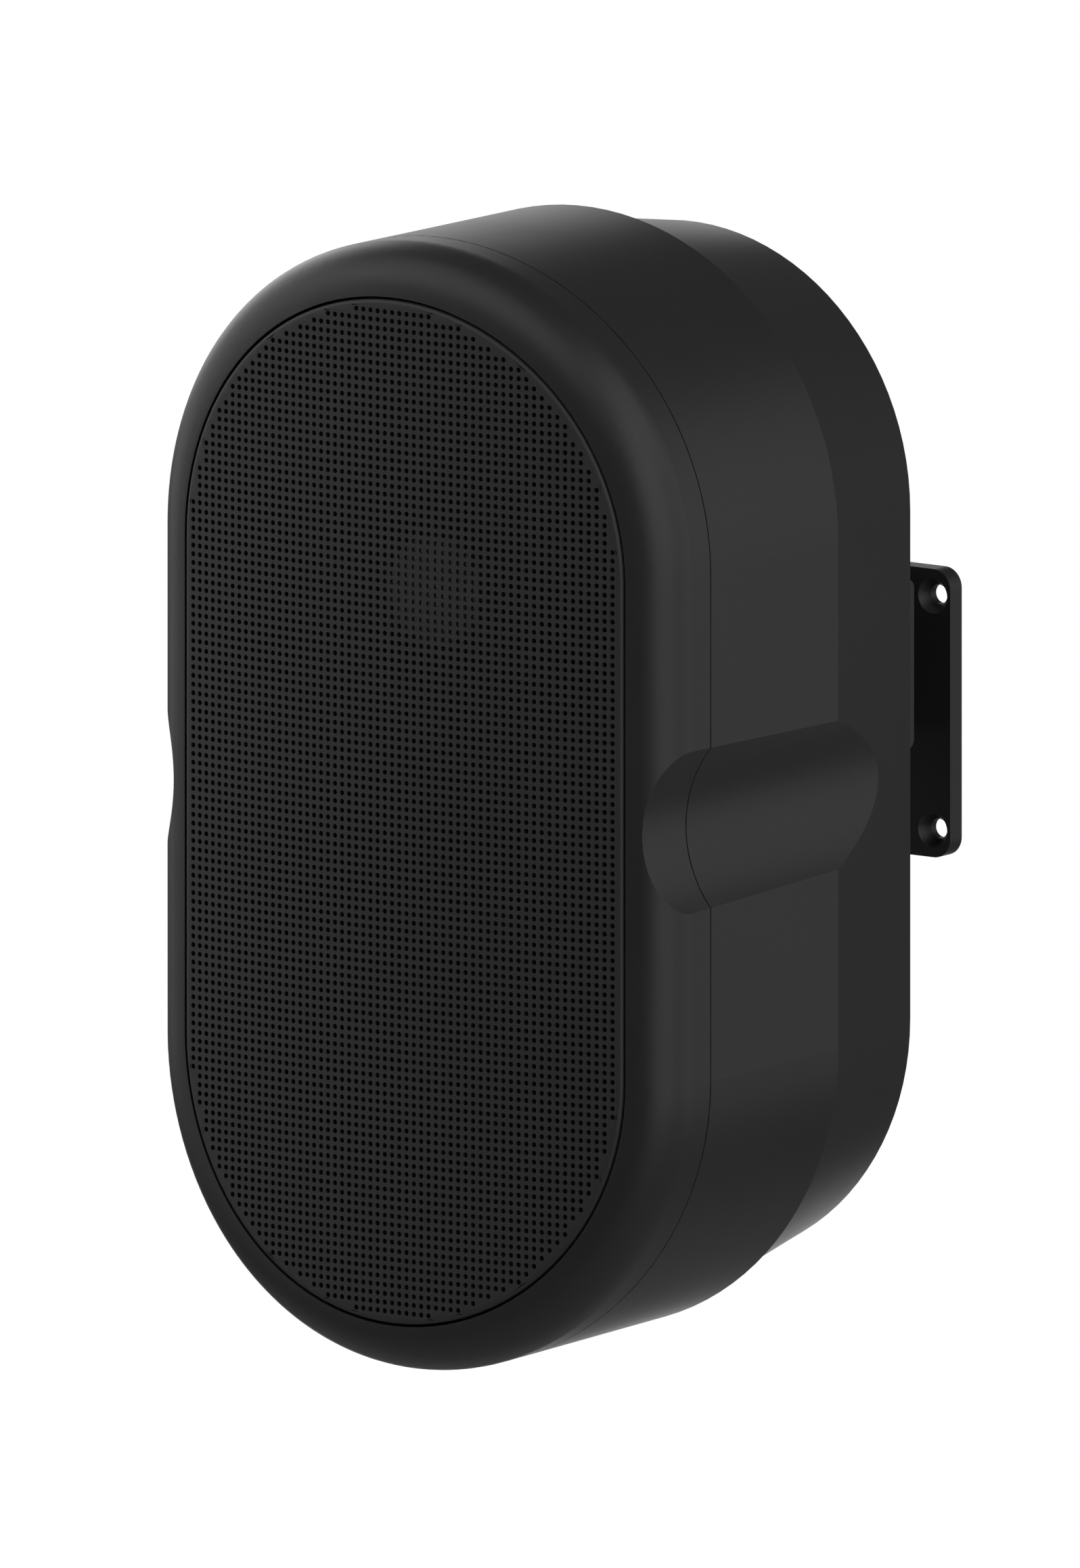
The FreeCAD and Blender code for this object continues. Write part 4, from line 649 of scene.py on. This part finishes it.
    def _border(self, cells: set[tuple[int, int]], loop: list[int], behind: bool) -> None:
        """Fills the plain border between the outermost cells and the rim.

        Args:
            cells: Column and row of each hole.
            loop: Numbers of the rim's points on that face.
            behind: Whether it is the back face.
        """
        stairs = []
        for column, row in cells:
            sides = (
                ((column - 1, row), (column, row), (column, row + 1)),
                ((column + 1, row), (column + 1, row), (column + 1, row + 1)),
                ((column, row - 1), (column, row), (column + 1, row)),
                ((column, row + 1), (column, row + 1), (column + 1, row + 1)),
            )
            for neighbour, start, end in sides:
                if neighbour not in cells:
                    stairs.append((self._corner(*start, behind), self._corner(*end, behind)))
        edges = stairs + list(zip(loop, loop[1:] + loop[:1]))
        numbers = sorted({number for edge in edges for number in edge})
        order = {number: index for index, number in enumerate(numbers)}
        flat = [Vector((self.points[number][0], self.points[number][2])) for number in numbers]
        joined = [(order[start], order[end]) for start, end in edges]
        _, _, fills, origins, _, _ = delaunay_2d_cdt(flat, joined, [], 0, FILL_NEARNESS)
        for fill in fills:
            trio = [numbers[origins[corner][0]] for corner in fill]
            x = sum(self.points[number][0] for number in trio) / len(trio)
            z = sum(self.points[number][2] for number in trio) / len(trio) - self.middle
            cell = (round(x / self.pitch), math.floor(z / self.pitch))
            if cell not in cells:
                self.faces.append(tuple(trio))


@dataclass
class RearShell:
    """Moulded rear cabinet whose tapered back stands in by a ledge at both ends of the crease."""

    node: str = "rear_cabinet"
    slot: str = "cabinet_plastic"
    crease_depth: float = 76.3 * MM
    crease_radius: float = 70.13 * MM
    back_radius: float = 60.6 * MM
    half_straight: float = 58.4 * MM
    wall: float = 3.5 * MM
    ledge: float = 2.6 * MM

    def __post_init__(self) -> None:
        """Reads the place of the crease and of the back from the frame."""
        low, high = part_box(self.node)
        self.middle = (low.z + high.z) / 2
        self.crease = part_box("grille")[0].y + self.crease_depth
        self.back = high.y

    def build(self, source: bpy.types.Object, palette: Palette) -> bpy.types.Object:
        """Models the shell from the node's own mesh, with the ledges added.

        Args:
            source: The node that it replaces.
            palette: Finishes to dress it from.

        Returns:
            The new piece.
        """
        mesh = source.data.copy()
        mesh.name = self.node + "_shell"
        mesh.materials.clear()
        work = bmesh.new()
        work.from_mesh(mesh)
        self._stand_in(work)
        work.to_mesh(mesh)
        work.free()
        piece = bpy.data.objects.new(mesh.name, mesh)
        bpy.context.scene.collection.objects.link(piece)
        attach(piece, Body.SPEAKER.value)
        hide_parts(self.node)
        palette.dress(piece, self.slot)
        return piece

    def _stand_in(self, work: bmesh.types.BMesh) -> None:
        """Moves the taper's skin in at both ends and closes the ledge behind the crease."""
        taper = [vertex for vertex in work.verts if self._on_taper(vertex)]
        kept = {vertex: vertex.co.copy() for vertex in taper}
        edges = {edge for vertex in taper for edge in vertex.link_edges if self._on_crease(edge)}
        for vertex in taper:
            vertex.co.z -= math.copysign(self._shift(vertex.co), vertex.co.z - self.middle)
        for edge in edges:
            first, second = edge.verts
            if max(self._shift(kept[first]), self._shift(kept[second])) > WELD:
                outer = [work.verts.new(kept[vertex]) for vertex in (first, second)]
                face = work.faces.new((first, second, outer[1], outer[0]))
                face.normal_update()
                if face.normal.y < 0:
                    face.normal_flip()

    def _on_taper(self, vertex: bmesh.types.BMVert) -> bool:
        """Returns whether a vertex is on the outer skin behind the crease."""
        if any(face.calc_center_median().y < self.crease for face in vertex.link_faces):
            return False
        rise = max(0.0, abs(vertex.co.z - self.middle) - self.half_straight)
        share = (vertex.co.y - self.crease) / (self.back - self.crease)
        skin = self.crease_radius + (self.back_radius - self.crease_radius) * share
        return math.hypot(vertex.co.x, rise) > skin - self.wall / 2

    def _on_crease(self, edge: bmesh.types.BMEdge) -> bool:
        """Returns whether an edge of the taper's skin lies on the crease."""
        in_line = all(abs(vertex.co.y - self.crease) < WELD for vertex in edge.verts)
        return in_line and all(self._on_taper(vertex) for vertex in edge.verts)

    def _shift(self, place: Vector) -> float:
        """Returns how far the skin moves in: most at the ends of the crease, nothing at the back."""
        rise = max(0.0, abs(place.z - self.middle) - self.half_straight)
        share = (self.back - place.y) / (self.back - self.crease)
        return self.ledge * share * rise / math.hypot(place.x, rise)


def turned_piece(name: str, profile: Profile, centre: tuple[float, float], steps: int) -> bpy.types.Object:
    """Turns a closed profile about a line along the depth direction.

    Args:
        name: The piece's name.
        profile: Radius and depth of each corner, in order.
        centre: Across and upward place of the axis.
        steps: Number of steps round the circle.

    Returns:
        The new piece.
    """
    points = []
    faces = []
    count = len(profile)
    for step in range(steps):
        turn = math.tau * step / steps
        for radius, depth in profile:
            points.append((centre[0] + radius * math.cos(turn), depth, centre[1] + radius * math.sin(turn)))
        for index in range(count):
            ahead = (index + 1) % count
            here, there = step * count, (step + 1) % steps * count
            faces.append((here + index, here + ahead, there + ahead, there + index))
    return new_piece(name, points, faces, TURNED_CREASE)


@dataclass
class Suspension(ABC):
    """Flexible ring between a driver's frame and its moving part."""

    node: str
    slot: str
    moving: Body
    steps: int = 120

    def __post_init__(self) -> None:
        """Reads the ring's place and outer size from the frame."""
        self.low, self.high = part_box(self.node)
        self.outer = (self.high.x - self.low.x) / 2
        self.centre = ((self.high.x + self.low.x) / 2, (self.high.z + self.low.z) / 2)

    @abstractmethod
    def profile(self) -> Profile:
        """Returns the ring's section, which each kind of ring draws for itself."""

    @abstractmethod
    def moving_span(self) -> tuple[float, float]:
        """Returns the radius where the ring is held still and the one where it moves fully."""

    def build(self, palette: Palette) -> bpy.types.Object:
        """Models the ring in place and hides the frame's node that it replaces.

        Args:
            palette: Finishes to dress it from.

        Returns:
            The new piece.
        """
        piece = turned_piece(self.node + "_ring", self.profile(), self.centre, self.steps)
        still, carried = self.moving_span()
        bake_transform(piece)
        self._stretch_by_radius(piece, still, carried)
        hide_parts(self.node)
        palette.dress(piece, self.slot)
        return piece

    def _stretch_by_radius(self, piece: bpy.types.Object, still: float, carried: float) -> None:
        """Leaves the ring as it is; nothing here stretches it."""


@dataclass
class HalfRoll(Suspension):
    """Half-roll surround with a lip on each side."""

    roll: float = 6.0 * MM
    sheet: float = 0.6 * MM
    lip_outside: float = 2.0 * MM
    lip_inside: float = 1.5 * MM
    roll_steps: int = 16

    def profile(self) -> Profile:
        """Returns the section: flat lips and two half circles."""
        middle = self.outer - self.lip_outside - self.roll / 2
        back = self.high.y
        front = back - self.sheet
        outer = self.roll / 2
        inner = outer - self.sheet
        foot = math.asin(self.sheet / outer)
        section = [(middle - outer - self.lip_inside, back)]
        for step in range(self.roll_steps + 1):
            turn = math.pi * step / self.roll_steps
            section.append((middle - inner * math.cos(turn), back - inner * math.sin(turn)))
        section += [(self.outer, back), (self.outer, front)]
        for step in range(self.roll_steps + 1):
            turn = foot + (math.pi - 2 * foot) * step / self.roll_steps
            section.append((middle + outer * math.cos(turn), back - outer * math.sin(turn)))
        section.append((middle - outer - self.lip_inside, front))
        return section

    def moving_span(self) -> tuple[float, float]:
        """Returns the outer and inner edges of the roll."""
        return self.outer - self.lip_outside, self.outer - self.lip_outside - self.roll


@dataclass
class PleatedDisc(Suspension):
    """Pleated centring disc with rounded waves."""

    inner: float = 13.3 * MM
    lip: float = 4.8 * MM
    sheet: float = 0.6 * MM
    waves: int = 4
    wave_steps: int = 8

    def profile(self) -> Profile:
        """Returns the section: a flat lip, then waves down to the neck."""
        height = self.high.y - self.low.y - self.sheet
        edge = self.outer - self.lip
        line = [(self.outer, 0.0)]
        total = self.waves * self.wave_steps
        for step in range(total + 1):
            share = step / total
            lift = height * (1 - math.cos(math.tau * self.waves * share)) / 2
            line.append((edge + (self.inner - edge) * share, lift))
        back = [(radius, self.high.y - lift) for radius, lift in line]
        front = [(radius, self.high.y - self.sheet - lift) for radius, lift in reversed(line)]
        return back + front

    def moving_span(self) -> tuple[float, float]:
        """Returns the edge of the flat lip and the radius of the neck."""
        return self.outer - self.lip, self.inner


@dataclass
class DomeCap:
    """Soft dome with a short skirt, which keeps clear of the pole inside it."""

    node: str
    slot: str
    moving: Body
    sheet: float = 0.5 * MM
    arc_steps: int = 24
    steps: int = 120

    def build(self, palette: Palette) -> bpy.types.Object:
        """Models the dome and lets it ride on its moving part.

        Args:
            palette: Finishes to dress it from.

        Returns:
            The new piece.
        """
        low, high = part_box(self.node)
        centre = ((high.x + low.x) / 2, (high.z + low.z) / 2)
        piece = turned_piece(self.node + "_cap", self._profile(low, high), centre, self.steps)
        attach(piece, self.moving.value)
        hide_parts(self.node)
        palette.dress(piece, self.slot)
        return piece

    def _profile(self, low: Vector, high: Vector) -> Profile:
        """Returns the section between the node's corners: two arcs about one point, and the skirt."""
        radius = (high.x - low.x) / 2
        foot = high.y - self.sheet
        height = foot - low.y
        sphere = (radius ** 2 + height ** 2) / (2 * height)
        middle = low.y + sphere
        outside = self._arc(sphere, middle, foot)
        inside = self._arc(sphere - self.sheet, middle, foot)
        skirt = [(outside[-1][0], high.y), (inside[-1][0], high.y)]
        return outside + skirt + inside[::-1]

    def _arc(self, size: float, middle: float, foot: float) -> Profile:
        """Returns an arc from the axis to the foot, of the given radius about the middle."""
        spread = math.acos((middle - foot) / size)
        turns = [spread * step / self.arc_steps for step in range(self.arc_steps + 1)]
        return [(size * math.sin(turn), middle - size * math.cos(turn)) for turn in turns]


def direction(azimuth: float, elevation: float) -> Vector:
    """Finds a direction seen from the loudspeaker.

    Args:
        azimuth: Degrees round the upright, with 0 in front and 90 to the right.
        elevation: Degrees above the level.

    Returns:
        A vector of length 1.
    """
    heading, rise = math.radians(azimuth), math.radians(elevation)
    level = math.cos(rise)
    return Vector((math.sin(heading) * level, -math.cos(heading) * level, math.sin(rise)))


@dataclass
class SoftBox:
    """Large rectangular lamp that looks at the loudspeaker."""

    name: str
    azimuth: float
    elevation: float
    width: float
    height: float
    power: float
    distance: float = 1.5

    def light(self, target: Vector) -> None:
        """Adds the lamp, turned to the target."""
        away = direction(self.azimuth, self.elevation)
        lamp = bpy.data.lights.new(self.name, "AREA")
        lamp.shape = "RECTANGLE"
        lamp.size = self.width
        lamp.size_y = self.height
        lamp.energy = self.power
        holder = bpy.data.objects.new(self.name, lamp)
        holder.location = target + away * self.distance
        holder.rotation_euler = (-away).to_track_quat("-Z", "Y").to_euler()
        bpy.context.scene.collection.objects.link(holder)


@dataclass
class Studio:
    """Camera at the photograph's angle, soft lamps, a pale floor and a white surround."""

    azimuth: float = 35.0
    elevation: float = 10.0
    frame_height: float = 355.52 * MM
    aim_across: float = 33.583 * MM
    aim_up: float = 6.382 * MM
    camera_distance: float = 2.0
    floor_drop: float = 1.0
    floor_radius: float = 1.6
    floor_segments: int = 96
    floor_tone: Colour = grey(0.48)
    floor_roughness: float = 0.9
    floor_white: float = 0.7
    floor_plain: float = 0.3
    fill: float = 0.11
    backdrop_inner: float = math.cos(math.radians(3))
    backdrop_outer: float = math.cos(math.radians(16))
    lamps: tuple[SoftBox, ...] = (
        SoftBox("right_softbox", azimuth=68.0, elevation=6.0, width=1.5, height=1.4, power=11.0),
        SoftBox("upper_right_softbox", azimuth=92.0, elevation=43.0, width=1.7, height=0.7, power=5.9),
        SoftBox("rear_softbox", azimuth=124.0, elevation=6.0, width=1.5, height=1.4, power=5.9),
        SoftBox("left_softbox", azimuth=-70.0, elevation=14.0, width=2.0, height=1.5, power=11.6),
        SoftBox("left_rear_softbox", azimuth=-120.0, elevation=20.0, width=0.7, height=1.0, power=4.7),
        SoftBox("top_softbox", azimuth=-20.0, elevation=52.0, width=2.0, height=1.2, power=10.6),
        SoftBox("back_softbox", azimuth=-141.0, elevation=15.0, width=0.6, height=0.5, power=1.3),
        SoftBox("low_softbox", azimuth=-147.0, elevation=-21.0, width=0.8, height=0.36, power=1.2),
    )

    def set_up(self) -> None:
        """Adds everything round the loudspeaker."""
        low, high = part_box("grille")
        crown = Vector(((low.x + high.x) / 2, low.y, (low.z + high.z) / 2))
        ahead = -direction(self.azimuth, self.elevation)
        right = direction(self.azimuth + 90.0, 0.0)
        up = right.cross(ahead)
        target = crown + right * self.aim_across + up * self.aim_up
        self._camera(target, ahead)
        for lamp in self.lamps:
            lamp.light(target)
        self._floor(target)
        self._world(ahead)
        bpy.context.scene.view_settings.view_transform = "Standard"

    def _camera(self, target: Vector, ahead: Vector) -> None:
        """Adds the parallel-view camera that frames the photograph."""
        data = bpy.data.cameras.new("photo_camera")
        data.type = "ORTHO"
        data.ortho_scale = self.frame_height
        camera = bpy.data.objects.new("photo_camera", data)
        camera.location = target - ahead * self.camera_distance
        camera.rotation_euler = ahead.to_track_quat("-Z", "Y").to_euler()
        bpy.context.scene.collection.objects.link(camera)
        bpy.context.scene.camera = camera

    def _floor(self, target: Vector) -> None:
        """Adds the pale floor well below the wall bracket."""
        mesh = bpy.data.meshes.new("floor")
        work = bmesh.new()
        bmesh.ops.create_circle(work, cap_ends=True, segments=self.floor_segments, radius=self.floor_radius)
        work.to_mesh(mesh)
        work.free()
        floor = bpy.data.objects.new("floor", mesh)
        floor.location = (target.x, target.y, target.z - self.floor_drop)
        bpy.context.scene.collection.objects.link(floor)
        mesh.materials.append(self._floor_paper())

    def _floor_paper(self) -> bpy.types.Material:
        """Returns the floor's material, paler to the eye than as a lamp, and white towards its edge."""
        material = bpy.data.materials.new("floor_paper")
        graph = Graph.inside(material)
        matt = {"Base Color": opaque(self.floor_tone), "Roughness": self.floor_roughness}
        paper = graph.add("ShaderNodeBsdfPrincipled", matt).outputs["BSDF"]
        white = graph.add("ShaderNodeEmission", {"Color": opaque(WHITE)}).outputs["Emission"]
        path = graph.add("ShaderNodeLightPath").outputs
        seen = graph.math("MAXIMUM", path["Is Camera Ray"], path["Is Transmission Ray"])
        place = graph.add("ShaderNodeTexCoord").outputs["Object"]
        away = graph.vector("LENGTH", {0: place}).outputs["Value"]
        edge = graph.ramp(away, self.floor_plain, self.floor_radius)
        whiteness = graph.math("MULTIPLY_ADD", edge, 1.0 - self.floor_white, self.floor_white)
        share = graph.math("MULTIPLY", seen, whiteness)
        mixed = graph.add("ShaderNodeMixShader", {0: share, 1: paper, 2: white})
        graph.add("ShaderNodeOutputMaterial", {"Surface": mixed.outputs["Shader"]})
        return material

    def _world(self, ahead: Vector) -> None:
        """Makes the surround: white to the eye and where gloss meets the backdrop, else a soft fill."""
        world = bpy.data.worlds.new("studio")
        bpy.context.scene.world = world
        graph = Graph.inside(world)
        toward = graph.add("ShaderNodeTexCoord").outputs["Generated"]
        facing = graph.vector("DOT_PRODUCT", {0: toward, 1: ahead}).outputs["Value"]
        backdrop = graph.ramp(facing, self.backdrop_outer, self.backdrop_inner)
        path = graph.add("ShaderNodeLightPath").outputs
        gloss = graph.math("MULTIPLY", path["Is Glossy Ray"], backdrop)
        seen = graph.math("MAXIMUM", path["Is Camera Ray"], path["Is Transmission Ray"])
        white = graph.math("MAXIMUM", seen, gloss)
        strength = graph.math("MULTIPLY_ADD", white, 1.0 - self.fill, self.fill)
        surround = graph.add("ShaderNodeBackground", {"Color": opaque(WHITE), "Strength": strength})
        graph.add("ShaderNodeOutputWorld", {"Surface": surround.outputs["Background"]})


def main() -> None:
    """Builds the loudspeaker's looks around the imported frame."""
    logging.basicConfig(level=logging.INFO, format="%(message)s")
    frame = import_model()
    palette = Palette()
    palette.dress_frame(frame["nodes"])
    GrilleSheet().build(palette)
    RearShell().build(frame["nodes"]["rear_cabinet"], palette)
    driver_parts = (
        HalfRoll("woofer_surround", "surround_rubber", Body.WOOFER),
        HalfRoll("tweeter_surround", "surround_cloth", Body.TWEETER, roll=2.5 * MM, sheet=0.5 * MM,
                 lip_outside=2.3 * MM, lip_inside=0.02 * MM),
        PleatedDisc("woofer_spider", "spider_cloth", Body.WOOFER),
        DomeCap("tweeter_dome", "dome_cloth", Body.TWEETER),
    )
    for part in driver_parts:
        part.build(palette)
    Studio().set_up()


if __name__ == "__main__":
    main()
